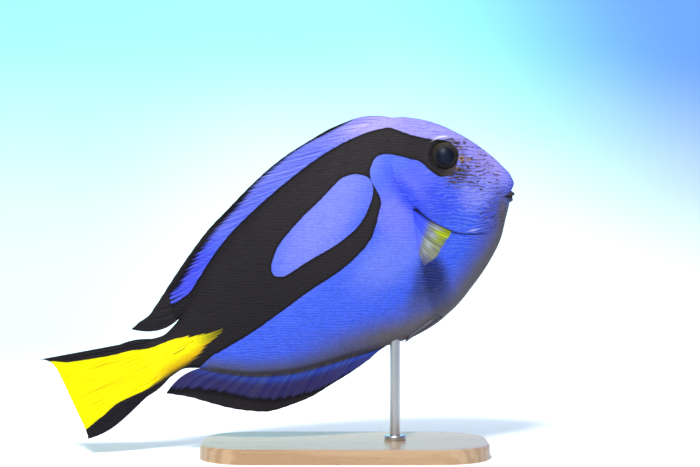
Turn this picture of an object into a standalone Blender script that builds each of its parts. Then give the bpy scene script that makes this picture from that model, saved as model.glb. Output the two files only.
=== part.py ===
# Regal blue tang, life size, held up by one rod on a flat display stand.
# Metres, +Z up, +X towards the snout, -Y the fish's right side.
# The origin is the centre of the stand's underside.
# The fish is laid out in its own frame, in millimetres: s runs back from the snout,
# z up from the snout's axis, y out to the left. One empty then pitches it nose up.

import math

import bmesh
import bpy
import numpy as np
from mathutils import Vector

mm = 0.001

# Placing of the fish over its stand
pitch_deg = 26.0
snout_x = 71.0
snout_z = 112.4
joint_gap = 0.3

# Body: driving lengths
snout_front = -0.9
stalk_end = 165.0
stalk_start = 150.0
body_stations = 54
body_ring = 28

# Body: outlines from the side, as (s, z)
back_line = [(-0.9, 5.2), (-0.1, 8.6), (3, 16.7), (10.6, 29.9), (19.6, 40.3), (30, 47.4), (36, 49.6),
             (44, 50.7), (62, 49), (83, 44.6), (104, 38.2), (128, 27.4), (145, 16), (154, 10.4), (160, 8.7), (166, 9.8)]
belly_line = [(-0.9, 2.2), (0.4, 0.0), (2.4, -1.6), (4.5, -5.1), (8.9, -10.5), (15, -17.7), (23.1, -23.8),
              (35.6, -30.8), (47.2, -35.6), (60, -38.0), (66, -38.1), (75, -36.9), (93, -34.2), (114.8, -30.2), (130.7, -24.4),
              (145.2, -15.8), (153, -10.1), (159, -7.9), (166, -8.9)]
# Body: half width, height of the widest place and roundness of the section, over s
half_widths = [(-0.9, 0.8), (0, 3.0), (5, 5.4), (15, 8.4), (25, 10.6), (40, 12.4), (55, 13), (75, 12.2),
               (95, 10.3), (115, 8), (135, 5.8), (150, 4.4), (160, 3.5), (166, 2.6)]
widest_heights = [(-0.9, 3.6), (5, 3.4), (25, 8), (50, 8), (80, 6), (120, 3), (166, 0.4)]
back_sharpness = [(-0.9, 0.5), (20, 0.52), (45, 0.62), (166, 0.62)]
belly_sharpness = [(-0.9, 0.5), (20, 0.58), (60, 0.62), (100, 0.64), (166, 0.6)]

# Gill slit, from the nape down round the gill cover to the throat, as (z, s)
gill_line = [(-16.5, 12.5), (-11.5, 21), (-8.2, 28), (-3.8, 33.5), (1.5, 37.5), (7.5, 40.5), (12.4, 42.2),
             (18, 43.5), (24, 43.8), (30, 42), (38, 36.5), (47, 26), (52, 19)]
gill_steps = 40
gill_swell = 0.5
gill_swell_reach = 5.0
gill_swell_middle_z = 6.0
gill_swell_height = 14.0
# The head ends below the throat and above the nape at the ends of that line
throat_z, throat_s = -17.0, 6.0
clear_of_fish = 12.0
side_reach = 60.0

# Eyes, lips, mouth and nostrils
eye_s, eye_y, eye_z = 21.1, 5.5, 24.1
eye_radius, eye_half_depth = 6.1, 4.5
orbit_radius, orbit_depth, orbit_clear = 6.8, 2.6, 0.55
lip_half_width = 3.4
upper_lip = {"front": 2.5, "z": -2.7, "depth": 3.6, "radius": 1.45, "corner_z": -2.6}
lower_lip = {"front": 3.6, "z": -4.5, "depth": 2.8, "radius": 1.0, "corner_z": -3.9}
lip_corner_share = 0.45
mouth_cut = {"front": -1.5, "front_z": -4.05, "back_z": -3.3, "depth": 6.4, "height": 0.45}
mouth_taper_from = 0.7
mouth_cut_half_width = 9.0
nostrils = [(15.2, 20.3, 0.75), (12.9, 18.6, 0.5)]
nostril_depth = 1.3

# Fins shared sizes: half thicknesses of membrane and rays
membrane_half = 0.28
root_half = 0.85
ray_half_root, ray_half_tip = 0.62, 0.38
shoulder_offset = 0.22
shoulder_share = 0.25
root_fade = 9.0
fork_start, fork_run = 0.35, 0.4

# Median fins: outlines and rays
dorsal_rays, dorsal_spines = 28, 9
dorsal_base = (33.5, 151.0)
dorsal_margin = [(49.8, 55.4), (58.9, 55.9), (68.5, 55.2), (78.3, 54.2), (88.6, 52.2), (99.8, 48.8), (111.3, 44.6),
                 (122.7, 40.5), (135.2, 34.1), (147.9, 26.8), (158.2, 20.6), (162, 18.6), (166.2, 18.0),
                 (170.7, 16.8)]
dorsal_reach = [(0, 16.3), (5, 18.5), (20, 20), (27, 19.7)]
dorsal_bend = [(0, 1.3), (4, 0.2), (20, -0.5), (25, -1.6), (27, -3.0)]

anal_rays, anal_spines = 21, 3
anal_base = (77.8, 152.0)
anal_margin = [(86, -38.4), (95.8, -40.0), (105.7, -41.0), (115.7, -41.9), (124.7, -41.3), (133.4, -39.8),
               (140.8, -36.0), (147.9, -31.3), (154.5, -25.7), (161, -19.8), (169.3, -13.9)]
anal_reach = [(0, 8.2), (3, 12), (10, 15.5), (20, 17.3)]
anal_bend = [(0, 0.3), (12, 0.2), (17, 0.8), (20, 1.9)]

caudal_rays = 16
caudal_root_s = stalk_end + joint_gap
caudal_root_z = (9.6, -8.7)
caudal_tip_z = (22.2, -16.7)
caudal_trail_s = 206.2
caudal_lobe_reach = (4.7, 0.9)
caudal_lobe_power = 8
caudal_flare, caudal_flare_run = 0.8, 3.6
caudal_lower_bow, caudal_bow_power = 2.5, 1.9

# Paired fins, right side, over the share of the root from its front or upper end
pectoral_rays = 16
pectoral_root = [(0, 41.9, 10.0), (1, 45.7, -1.1)]
pectoral_tip_s = [(0, 33.9), (0.35, 38.6), (0.65, 43.9), (1, 48.3)]
pectoral_tip_z = [(0, -4.1), (0.35, -8.4), (0.65, -11.6), (1, -9.2)]
pectoral_out = [(0, 32.2), (0.35, 28), (0.65, 22), (1, 15.8)]
pectoral_cup = 2.0
pectoral_cup_spread = (0.15, 0.7)
pectoral_root_lift = 0.1

pelvic_rays = 5
pelvic_root = [(0, 51.0, -35.7), (1, 53.4, -33.7)]
pelvic_tip_s = [(0, 70.0), (1, 67.2)]
pelvic_tip_z = [(0, -38.6), (1, -36.6)]
pelvic_clear = 0.55

# Folding spine on each side of the tail stalk
spine_s, spine_z = 152.4, 0.2
spine_length, spine_radius, spine_tip_radius = 7.0, 0.85, 0.12

# Display stand
base_length, base_width, base_height = 120.0, 64.0, 6.0
base_corner, base_edge = 22.0, 1.2
rod_x, rod_radius = 21.0, 2.2
rod_foot_z, rod_top_z = 3.0, 54.0

colours = {
    "body_blue": (0.10, 0.16, 0.92, 0.42, 0.0),
    "fin_blue": (0.12, 0.15, 0.75, 0.45, 0.0),
    "tail_yellow": (1.0, 0.95, 0.02, 0.45, 0.0),
    "eye_dark": (0.03, 0.04, 0.07, 0.1, 0.0),
    "pectoral_olive": (0.35, 0.42, 0.10, 0.45, 0.0),
    "spine_ivory": (0.8, 0.75, 0.5, 0.4, 0.0),
    "stand_wood": (0.55, 0.42, 0.28, 0.5, 0.0),
    "stand_steel": (0.6, 0.6, 0.62, 0.3, 1.0),
}


def clear_scene():
    for obj in list(bpy.data.objects):
        bpy.data.objects.remove(obj)


def curve_through(knots, x):
    # A monotone cubic through the knots, so that an outline never overshoots its own points.
    xs = np.array([knot[0] for knot in knots], float)
    ys = np.array([knot[1] for knot in knots], float)
    steps = np.diff(xs)
    slopes = np.diff(ys) / steps
    tangents = np.empty(len(xs))
    tangents[0] = slopes[0]
    tangents[-1] = slopes[-1]
    product = slopes[:-1] * slopes[1:]
    weight_a = 2 * steps[1:] + steps[:-1]
    weight_b = steps[1:] + 2 * steps[:-1]
    safe = np.where(product > 0, product, 1)
    weighted = weight_a * slopes[1:] + weight_b * slopes[:-1] + (product <= 0)
    harmonic = (weight_a + weight_b) * safe / weighted
    tangents[1:-1] = np.where(product > 0, harmonic, 0)
    x = np.clip(np.asarray(x, float), xs[0], xs[-1])
    place = np.clip(np.searchsorted(xs, x) - 1, 0, len(steps) - 1)
    width = steps[place]
    t = (x - xs[place]) / width
    start = ys[place] * (1 + 2 * t) * (1 - t) ** 2 + tangents[place] * width * t * (1 - t) ** 2
    end = ys[place + 1] * t * t * (3 - 2 * t) + tangents[place + 1] * width * t * t * (t - 1)
    return start + end


def along_body(knots, s):
    # The snout is round, so its outline is read over the square root of the distance from its front.
    rooted = [(math.sqrt(knot[0] - snout_front), knot[1]) for knot in knots]
    return curve_through(rooted, np.sqrt(np.maximum(np.asarray(s, float) - snout_front, 0)))


def gill_edge(z):
    return curve_through(gill_line, z)


def gill_relief(s, z):
    # The gill cover swells a little just in front of its free edge.
    inside = np.clip((gill_edge(z) - np.asarray(s, float)) / gill_swell_reach, 0, 2)
    level = (np.asarray(z, float) - gill_swell_middle_z) / gill_swell_height
    return gill_swell * np.sin(np.pi * inside / 2) ** 2 * np.exp(-level * level)


def half_width(s, z):
    # Half the body's width at a place on its side; zero off the outline.
    middle = along_body(widest_heights, s)
    above = np.asarray(z, float) > middle
    top = along_body(back_line, s) - middle
    bottom = middle - along_body(belly_line, s)
    share = np.abs(z - middle) / np.where(above, top, bottom)
    power = np.where(above, along_body(back_sharpness, s), along_body(belly_sharpness, s))
    depth = np.clip(1 - share * share, 0, 1) ** power
    return (along_body(half_widths, s) + gill_relief(s, z)) * depth


def local(s, y, z):
    # A point of the fish's frame, in the metres of the empty that carries it.
    return Vector((-s * mm, y * mm, z * mm))


def make_material(name):
    red, green, blue, roughness, metallic = colours[name]
    material = bpy.data.materials.new(name)
    material.use_nodes = True
    shader = material.node_tree.nodes["Principled BSDF"]
    shader.inputs["Base Color"].default_value = (red, green, blue, 1)
    shader.inputs["Roughness"].default_value = roughness
    shader.inputs["Metallic"].default_value = metallic
    return material


def add_mesh(name, points, faces, collection, material=None, parent=None):
    mesh = bpy.data.meshes.new(name)
    mesh.from_pydata([tuple(point) for point in points], [], faces)
    mesh.update()
    obj = bpy.data.objects.new(name, mesh)
    if material:
        mesh.materials.append(material)
    collection.objects.link(obj)
    obj.parent = parent
    return obj


def as_cutter(obj):
    obj.hide_render = True
    obj.display_type = "WIRE"
    return obj


def face_outwards(obj):
    bm = bmesh.new()
    bm.from_mesh(obj.data)
    bmesh.ops.recalc_face_normals(bm, faces=bm.faces)
    bm.to_mesh(obj.data)
    bm.free()


def loft(name, rings, collection, material=None, parent=None):
    # Skins a list of rings with equal counts and closes both ends with a fan.
    count = len(rings[0])
    points = [point for ring in rings for point in ring]
    faces = []
    for row in range(len(rings) - 1):
        for column in range(count):
            here = row * count + column
            beside = row * count + (column + 1) % count
            faces.append((here, beside, beside + count, here + count))
    for start in (0, (len(rings) - 1) * count):
        middle = sum((Vector(points[start + k]) for k in range(count)), Vector()) / count
        points.append(middle)
        centre = len(points) - 1
        for column in range(count):
            faces.append((start + column, start + (column + 1) % count, centre))
    obj = add_mesh(name, points, faces, collection, material, parent)
    face_outwards(obj)
    return obj


def make_body(collection):
    # The whole trunk from snout to the end of the tail stalk, before it is parted.
    nearest = math.sqrt(0.02)
    farthest = math.sqrt(stalk_end - snout_front)
    rings = []
    for station in range(body_stations):
        s = snout_front + (nearest + (farthest - nearest) * station / (body_stations - 1)) ** 2
        middle = float(along_body(widest_heights, s))
        top = float(along_body(back_line, s)) - middle
        bottom = middle - float(along_body(belly_line, s))
        ring = []
        for step in range(body_ring):
            angle = 2 * math.pi * step / body_ring
            rise = math.cos(angle)
            z = middle + (top if rise > 0 else bottom) * rise
            side = 1 if step < body_ring / 2 else -1
            ring.append(local(s, side * float(half_width(s, z)), z))
        rings.append(ring)
    return loft("whole_body", rings, collection)


def offset_line(line, distance):
    # The line moved square to itself, towards larger s for a positive distance.
    points = np.array(line, float)
    run = np.gradient(points, axis=0)
    run /= np.linalg.norm(run, axis=1)[:, None]
    return points + distance * np.stack([run[:, 1], -run[:, 0]], axis=1)


def side_prism(name, outline, collection, parent, reach=side_reach):
    # A block through the whole fish, from an outline of (s, z).
    count = len(outline)
    points = [local(s, side * reach, z) for side in (-1, 1) for s, z in outline]
    faces = [tuple(range(count)), tuple(range(2 * count - 1, count - 1, -1))]
    for step in range(count):
        after = (step + 1) % count
        faces.append((step, after, after + count, step + count))
    obj = add_mesh(name, points, faces, collection, None, parent)
    face_outwards(obj)
    return as_cutter(obj)


def boolean(obj, other, operation):
    modifier = obj.modifiers.new(operation.lower(), "BOOLEAN")
    modifier.operation = operation
    modifier.solver = "EXACT"
    if isinstance(other, bpy.types.Collection):
        modifier.operand_type = "COLLECTION"
        modifier.collection = other
    else:
        modifier.object = other


def keep_largest_piece(bm):
    # After cuts a part keeps only its largest closed surface.
    left = set(bm.faces)
    groups = []
    while left:
        front = [left.pop()]
        group = list(front)
        while front:
            face = front.pop()
            for edge in face.edges:
                for neighbour in edge.link_faces:
                    if neighbour in left:
                        left.remove(neighbour)
                        front.append(neighbour)
                        group.append(neighbour)
        groups.append(group)
    groups.sort(key=len)
    for group in groups[:-1]:
        bmesh.ops.delete(bm, geom=group, context="FACES")
    loose = [vert for vert in bm.verts if not vert.link_faces]
    bmesh.ops.delete(bm, geom=loose, context="VERTS")


def apply_modifiers(obj):
    bpy.context.view_layer.update()
    graph = bpy.context.evaluated_depsgraph_get()
    mesh = bpy.data.meshes.new_from_object(obj.evaluated_get(graph))
    bm = bmesh.new()
    bm.from_mesh(mesh)
    keep_largest_piece(bm)
    bm.to_mesh(mesh)
    bm.free()
    obj.modifiers.clear()
    obj.data = mesh


def shade_smooth(obj, sharp_deg=35):
    obj.data.shade_smooth()
    obj.data.set_sharp_from_angle(angle=math.radians(sharp_deg))


def ellipsoid(name, centre, radii, collection, parent, segments=20, rings=12):
    bm = bmesh.new()
    bmesh.ops.create_uvsphere(bm, u_segments=segments, v_segments=rings, radius=1)
    # The poles point sideways, so that the rings lie round the line of sight.
    for vert in bm.verts:
        x, y, z = vert.co
        vert.co = Vector((x * radii[0], z * radii[1], -y * radii[2])) * mm
        vert.co += local(*centre)
    mesh = bpy.data.meshes.new(name)
    bm.to_mesh(mesh)
    bm.free()
    obj = bpy.data.objects.new(name, mesh)
    collection.objects.link(obj)
    obj.parent = parent
    return obj


def lip_tube(name, sizes, collection, parent, stations=11, ring_count=10):
    # A rounded bead that runs from one corner of the mouth round the front to the other.
    rings = []
    for station in range(stations):
        turn = (station / (stations - 1) * 2 - 1) * math.pi / 2
        s = sizes["front"] + sizes["depth"] * (1 - math.cos(turn))
        y = lip_half_width * math.sin(turn)
        z = sizes["z"] + (sizes["corner_z"] - sizes["z"]) * (1 - math.cos(turn))
        radius = sizes["radius"] * (lip_corner_share + (1 - lip_corner_share) * math.cos(turn))
        outward = Vector((-math.cos(turn), math.sin(turn), 0))
        ring = []
        for step in range(ring_count):
            angle = 2 * math.pi * step / ring_count
            offset = outward * math.cos(angle) + Vector((0, 0, math.sin(angle)))
            ring.append(local(s + offset.x * radius, y + offset.y * radius, z + offset.z * radius))
        rings.append(ring)
    return loft(name, rings, collection, None, parent)


def mouth_cutter(collection, parent, steps=6):
    # A thin wedge, open to the front, that parts the lips and ends at the corners of the mouth.
    rows = []
    for step in range(steps + 1):
        share = step / steps
        s = mouth_cut["front"] + (mouth_cut["depth"] - mouth_cut["front"]) * share
        z = mouth_cut["front_z"] + (mouth_cut["back_z"] - mouth_cut["front_z"]) * share
        narrowing = max(share - mouth_taper_from, 0) / (1 - mouth_taper_from) * 0.5
        half = mouth_cut["height"] / 2 * (1 - narrowing)
        rows.append((s, z, half))
    outline = [(s, z + half) for s, z, half in rows] + [(s, z - half) for s, z, half in reversed(rows)]
    return side_prism("mouth_cutter", outline, collection, parent, mouth_cut_half_width)


def gill_cut_line():
    # The gill slit's middle line as (s, z), from the throat up to the nape.
    heights = np.linspace(gill_line[0][0], gill_line[-1][0], gill_steps)
    return [(float(gill_edge(z)), float(z)) for z in heights]


def make_head(body, parts, cutters, carrier, material):
    edge = offset_line(gill_cut_line(), -joint_gap / 2)
    front = -clear_of_fish
    outline = [(front, gill_line[-1][0]), (front, throat_z), (throat_s, throat_z)]
    outline += [tuple(point) for point in edge]
    region = side_prism("head_region", outline, cutters, carrier)
    head = add_mesh("head", [], [], parts, material, carrier)
    head.data = body.data.copy()
    head.data.materials.append(material)
    boolean(head, region, "INTERSECT")
    apply_modifiers(head)
    lips = bpy.data.collections.new("lips")
    bpy.context.scene.collection.children.link(lips)
    lip_tube("upper_lip", upper_lip, lips, carrier)
    lip_tube("lower_lip", lower_lip, lips, carrier)
    boolean(head, lips, "UNION")
    apply_modifiers(head)
    for obj in list(lips.objects):
        bpy.data.objects.remove(obj)
    bpy.data.collections.remove(lips)
    boolean(head, mouth_cutter(cutters, carrier), "DIFFERENCE")
    for side, name in ((-1, "right"), (1, "left")):
        socket_radii = (eye_radius + joint_gap, eye_half_depth + joint_gap, eye_radius + joint_gap)
        socket = ellipsoid("socket_" + name, (eye_s, side * eye_y, eye_z), socket_radii, cutters, carrier)
        boolean(head, as_cutter(socket), "DIFFERENCE")
        orbit_y = side * (float(half_width(eye_s, eye_z)) + orbit_clear)
        orbit = ellipsoid("orbit_" + name, (eye_s, orbit_y, eye_z), (orbit_radius, orbit_depth, orbit_radius),
                          cutters, carrier)
        boolean(head, as_cutter(orbit), "DIFFERENCE")
        for index, (s, z, radius) in enumerate(nostrils):
            y = side * float(half_width(s, z))
            pit = ellipsoid(f"nostril_{name}_{index}", (s, y, z), (radius, nostril_depth, radius), cutters,
                            carrier, 12, 8)
            boolean(head, as_cutter(pit), "DIFFERENCE")
    apply_modifiers(head)
    shade_smooth(head)
    return head


def make_torso(body, parts, cutters, carrier, material, rod_socket):
    edge = offset_line(gill_cut_line()[::-1], -joint_gap / 2)
    end = stalk_start - joint_gap / 2
    below, above = -side_reach, 2 * side_reach
    outline = [tuple(point) for point in edge]
    outline += [(gill_line[0][1], below), (end, below), (end, above), (gill_line[-1][1], above)]
    region = side_prism("torso_region", outline, cutters, carrier)
    torso = add_mesh("torso", [], [], parts, material, carrier)
    torso.data = body.data.copy()
    torso.data.materials.append(material)
    boolean(torso, region, "INTERSECT")
    boolean(torso, rod_socket, "DIFFERENCE")
    apply_modifiers(torso)
    shade_smooth(torso)
    return torso


def make_stalk(body, parts, cutters, carrier, material):
    start = stalk_start + joint_gap / 2
    end = stalk_end + clear_of_fish
    outline = [(start, -side_reach), (end, -side_reach), (end, side_reach), (start, side_reach)]
    region = side_prism("stalk_region", outline, cutters, carrier)
    stalk = add_mesh("tail_stalk", [], [], parts, material, carrier)
    stalk.data = body.data.copy()
    stalk.data.materials.append(material)
    boolean(stalk, region, "INTERSECT")
    for side in (-1, 1):
        groove = spine_cone("groove", side, joint_gap, cutters, carrier)
        boolean(stalk, as_cutter(groove), "DIFFERENCE")
    apply_modifiers(stalk)
    shade_smooth(stalk)
    return stalk


def spine_cone(name, side, grow, collection, parent, material=None):
    # A tapered spine lying forwards along the stalk, half sunk in its own groove.
    bm = bmesh.new()
    base = (spine_radius + grow) * mm
    tip = (spine_tip_radius + grow) * mm
    length = (spine_length + 2 * grow) * mm
    bmesh.ops.create_cone(bm, cap_ends=True, segments=10, radius1=base, radius2=tip, depth=length)
    middle = spine_s + spine_length / 2
    y = side * float(half_width(middle, spine_z))
    lean = side * float(half_width(middle - 1, spine_z) - half_width(middle + 1, spine_z)) / 2
    forward = Vector((1, lean, 0)).normalized()
    turn = forward.to_track_quat("Z", "Y").to_matrix()
    for vert in bm.verts:
        vert.co = turn @ vert.co + local(middle, y, spine_z)
    mesh = bpy.data.meshes.new(name)
    bm.to_mesh(mesh)
    bm.free()
    if material:
        mesh.materials.append(material)
    obj = bpy.data.objects.new(name, mesh)
    collection.objects.link(obj)
    obj.parent = parent
    return obj


def ray_columns(rays):
    # Places across a fin, in rays: each ray has a crest with two shoulders, with membrane between.
    columns = []
    for ray in range(rays):
        for offset, kind in ((-shoulder_offset, "shoulder"), (0, "crest"), (shoulder_offset, "shoulder")):
            if 0 <= ray + offset <= rays - 1:
                columns.append((ray + offset, kind, ray))
        if ray < rays - 1:
            columns.append((ray + 0.5, "membrane", ray))
    return columns


def column_half(kind, v, forked):
    # Half thickness of a fin at a column, from its root (v = 0) to its margin (v = 1).
    thickening = math.exp(-v * root_fade)
    base = membrane_half + (root_half - membrane_half) * thickening
    if kind == "membrane":
        return base
    crest = ray_half_root + (ray_half_tip - ray_half_root) * v + (root_half - ray_half_root) * thickening
    crest = max(crest, base)
    split = min(max((v - fork_start) / fork_run, 0), 1) if forked else 0
    low = base + shoulder_share * (crest - base)
    if kind == "crest":
        return crest + (low - crest) * split
    return low + (crest - low) * split


def fin_sheet(name, rays, rows, place, forked_from, collection, material, parent, out=None, root_fit=None):
    # A closed fin: rays are ridges of the membrane's own surface, alike on both faces.
    columns = ray_columns(rays)
    near, far = [], []
    for u, kind, ray in columns:
        for row in range(rows + 1):
            v = row / rows
            half = column_half(kind, v, ray >= forked_from)
            centre = place(u, v)
            normal = out(u, v) if out else Vector((0, 1, 0))
            for side, points in ((-1, near), (1, far)):
                point = centre + normal * (side * half)
                if root_fit and row == 0:
                    point = root_fit(point)
                points.append(local(*point))
    count = rows + 1
    back = len(near)
    faces = []
    for column in range(len(columns) - 1):
        for row in range(rows):
            a = column * count + row
            b, c, d = a + 1, a + count + 1, a + count
            if (column + row) % 2:
                pairs = ((a, b, c), (a, c, d))
            else:
                pairs = ((a, b, d), (b, c, d))
            for triangle in pairs:
                faces.append(triangle)
                faces.append(tuple(back + index for index in reversed(triangle)))
    last = (len(columns) - 1) * count
    rims = [[column * count for column in range(len(columns))]]
    rims.append([column * count + rows for column in range(len(columns))])
    rims.append(list(range(count)))
    rims.append([last + row for row in range(count)])
    for rim in rims:
        for first, second in zip(rim, rim[1:]):
            faces.append((first, second, back + second))
            faces.append((first, back + second, back + first))
    obj = add_mesh(name, near + far, faces, collection, material, parent)
    face_outwards(obj)
    shade_smooth(obj, 50)
    return obj


def median_fin(name, rays, base, root_line, side, margin, reach, bend, spines, rows, parts, carrier,
               material):
    # A fin in the fish's middle plane, rooted along the back (side 1) or the belly (side -1).
    def place(u, v):
        share = u / (rays - 1)
        root_s = base[0] + (base[1] - base[0]) * share
        root_z = float(along_body(root_line, root_s)) + side * joint_gap
        tip_s = root_s + float(curve_through(reach, u))
        tip_z = float(curve_through(margin, tip_s))
        lift = float(curve_through(bend, u)) * 4 * v * (1 - v)
        return Vector((root_s + (tip_s - root_s) * v, 0, root_z + (tip_z - root_z) * v + lift))

    return fin_sheet(name, rays, rows, place, spines, parts, material, carrier)


def make_caudal(parts, carrier, material):
    def place(u, v):
        share = u / (caudal_rays - 1)
        swing = 2 * share - 1
        root_z = caudal_root_z[0] + (caudal_root_z[1] - caudal_root_z[0]) * share
        tip_z = caudal_tip_z[0] + (caudal_tip_z[1] - caudal_tip_z[0]) * share
        reach = caudal_lobe_reach[0] if swing < 0 else caudal_lobe_reach[1]
        tip_s = caudal_trail_s + reach * abs(swing) ** caudal_lobe_power
        flare = caudal_flare * swing * math.sin(math.pi * min(v * caudal_flare_run, 1))
        bow = caudal_lower_bow * max(swing, 0) ** 2 * math.sin(math.pi * v ** caudal_bow_power)
        z = root_z + (tip_z - root_z) * v - flare - bow
        return Vector((caudal_root_s + (tip_s - caudal_root_s) * v, 0, z))

    return fin_sheet("caudal_fin", caudal_rays, 7, place, 1, parts, material, carrier)


def surface_normal(place, u, v, top):
    # Square to a sheet, from small steps along and across it.
    step = 0.05
    along = place(u, min(v + step, 1)) - place(u, max(v - step, 0))
    across = place(min(u + step, top), v) - place(max(u - step, 0), v)
    return along.cross(across).normalized()


def make_pectoral(side, name, parts, carrier, material):
    def place(u, v):
        share = u / (pectoral_rays - 1)
        root_s = pectoral_root[0][1] + (pectoral_root[1][1] - pectoral_root[0][1]) * share
        root_z = pectoral_root[0][2] + (pectoral_root[1][2] - pectoral_root[0][2]) * share
        root_y = float(half_width(root_s, root_z)) + joint_gap
        root = Vector((root_s, side * root_y, root_z))
        tip_y = root_y + float(curve_through(pectoral_out, share))
        tip = Vector((float(curve_through(pectoral_tip_s, share)), side * tip_y,
                      float(curve_through(pectoral_tip_z, share))))
        across = pectoral_cup_spread[0] + pectoral_cup_spread[1] * share
        cup = pectoral_cup * math.sin(math.pi * v) * math.sin(math.pi * across)
        return root.lerp(tip, v) + Vector((cup, 0, 0))

    def out(u, v):
        return surface_normal(place, u, v, pectoral_rays - 1)

    def root_fit(point):
        y = float(half_width(point.x, point.z)) + joint_gap + pectoral_root_lift
        return Vector((point.x, side * y, point.z))

    return fin_sheet(name, pectoral_rays, 4, place, pectoral_rays, parts, material, carrier, out, root_fit)


def make_pelvic(side, name, parts, carrier, material):
    # Folded back against the belly, beside its fellow.
    def place(u, v):
        share = u / (pelvic_rays - 1)
        root_s = pelvic_root[0][1] + (pelvic_root[1][1] - pelvic_root[0][1]) * share
        root_z = pelvic_root[0][2] + (pelvic_root[1][2] - pelvic_root[0][2]) * share
        tip_s = float(curve_through(pelvic_tip_s, share))
        tip_z = float(curve_through(pelvic_tip_z, share))
        s = root_s + (tip_s - root_s) * v
        z = root_z + (tip_z - root_z) * v
        thick = ray_half_root * (1 - v) + ray_half_tip * v
        y = float(half_width(s, z)) + pelvic_clear + thick
        return Vector((s, side * y, z))

    return fin_sheet(name, pelvic_rays, 5, place, pelvic_rays, parts, material, carrier)


def cylinder(name, x, radius, low, high, collection, material=None, segments=28):
    bm = bmesh.new()
    bmesh.ops.create_cone(bm, cap_ends=True, segments=segments, radius1=radius * mm, radius2=radius * mm,
                          depth=(high - low) * mm)
    mesh = bpy.data.meshes.new(name)
    bm.to_mesh(mesh)
    bm.free()
    if material:
        mesh.materials.append(material)
    obj = bpy.data.objects.new(name, mesh)
    obj.location = Vector((x, 0, (low + high) / 2)) * mm
    collection.objects.link(obj)
    return obj


def make_stand(parts, cutters, wood, steel):
    bm = bmesh.new()
    bmesh.ops.create_cube(bm, size=1)
    for vert in bm.verts:
        x, y, z = vert.co
        vert.co = Vector((x * base_length, y * base_width, (z + 0.5) * base_height)) * mm
    half = base_height * mm / 2
    upright = [edge for edge in bm.edges if abs(edge.verts[0].co.z - edge.verts[1].co.z) > half]
    bmesh.ops.bevel(bm, geom=upright, offset=base_corner * mm, segments=9, profile=0.5, affect="EDGES")
    rim = [edge for edge in bm.edges if all(vert.co.z > (base_height - 0.01) * mm for vert in edge.verts)]
    bmesh.ops.bevel(bm, geom=rim, offset=base_edge * mm, segments=3, profile=0.5, affect="EDGES")
    base = bpy.data.objects.new("stand_base", bpy.data.meshes.new("stand_base"))
    bm.to_mesh(base.data)
    bm.free()
    base.data.materials.append(wood)
    parts.objects.link(base)
    hole = cylinder("base_hole", rod_x, rod_radius + joint_gap, rod_foot_z - joint_gap, base_height + 2,
                    cutters)
    boolean(base, as_cutter(hole), "DIFFERENCE")
    apply_modifiers(base)
    shade_smooth(base)
    rod = cylinder("stand_rod", rod_x, rod_radius, rod_foot_z, rod_top_z, parts, steel)
    shade_smooth(rod)
    return base, rod


def main():
    clear_scene()
    parts = bpy.data.collections.new("regal_blue_tang")
    cutters = bpy.data.collections.new("cutters")
    for collection in (parts, cutters):
        bpy.context.scene.collection.children.link(collection)
    paint = {name: make_material(name) for name in colours}

    carrier = bpy.data.objects.new("fish_frame", None)
    carrier.location = Vector((snout_x, 0, snout_z)) * mm
    carrier.rotation_euler = (0, -math.radians(pitch_deg), 0)
    parts.objects.link(carrier)
    bpy.context.view_layer.update()

    make_stand(parts, cutters, paint["stand_wood"], paint["stand_steel"])
    socket = cylinder("rod_socket", rod_x, rod_radius + joint_gap, rod_foot_z, rod_top_z + joint_gap, cutters)
    as_cutter(socket)

    body = as_cutter(make_body(cutters))
    body.parent = carrier
    blue = paint["body_blue"]
    make_head(body, parts, cutters, carrier, blue)
    make_torso(body, parts, cutters, carrier, blue, socket)
    make_stalk(body, parts, cutters, carrier, paint["tail_yellow"])

    median_fin("dorsal_fin", dorsal_rays, dorsal_base, back_line, 1, dorsal_margin, dorsal_reach, dorsal_bend,
               dorsal_spines, 4, parts, carrier, paint["fin_blue"])
    median_fin("anal_fin", anal_rays, anal_base, belly_line, -1, anal_margin, anal_reach, anal_bend,
               anal_spines, 4, parts, carrier, paint["fin_blue"])
    make_caudal(parts, carrier, paint["tail_yellow"])
    for side, name in ((-1, "right"), (1, "left")):
        eye = ellipsoid("eye_" + name, (eye_s, side * eye_y, eye_z), (eye_radius, eye_half_depth, eye_radius),
                        parts, carrier)
        eye.data.materials.append(paint["eye_dark"])
        shade_smooth(eye)
        make_pectoral(side, "pectoral_fin_" + name, parts, carrier, paint["pectoral_olive"])
        make_pelvic(side, "pelvic_fin_" + name, parts, carrier, paint["fin_blue"])
        spine = spine_cone("tail_spine_" + name, side, 0, parts, carrier, paint["spine_ivory"])
        shade_smooth(spine)


main()
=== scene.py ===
import math

import bpy
import numpy as np
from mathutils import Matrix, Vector


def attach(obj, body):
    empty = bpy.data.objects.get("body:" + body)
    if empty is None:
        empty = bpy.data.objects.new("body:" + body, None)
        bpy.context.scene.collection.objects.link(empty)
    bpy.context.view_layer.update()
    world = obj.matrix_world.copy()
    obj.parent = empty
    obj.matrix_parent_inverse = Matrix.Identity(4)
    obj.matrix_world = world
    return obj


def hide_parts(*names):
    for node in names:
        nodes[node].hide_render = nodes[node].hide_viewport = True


# Looks of a life-size regal blue tang on its display stand.
# The fish is worked out in its own frame, in millimetres: s runs back from the snout, y out to the
# side, z up from the snout's axis. toWorld() then sets it nose up over the stand.

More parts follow.
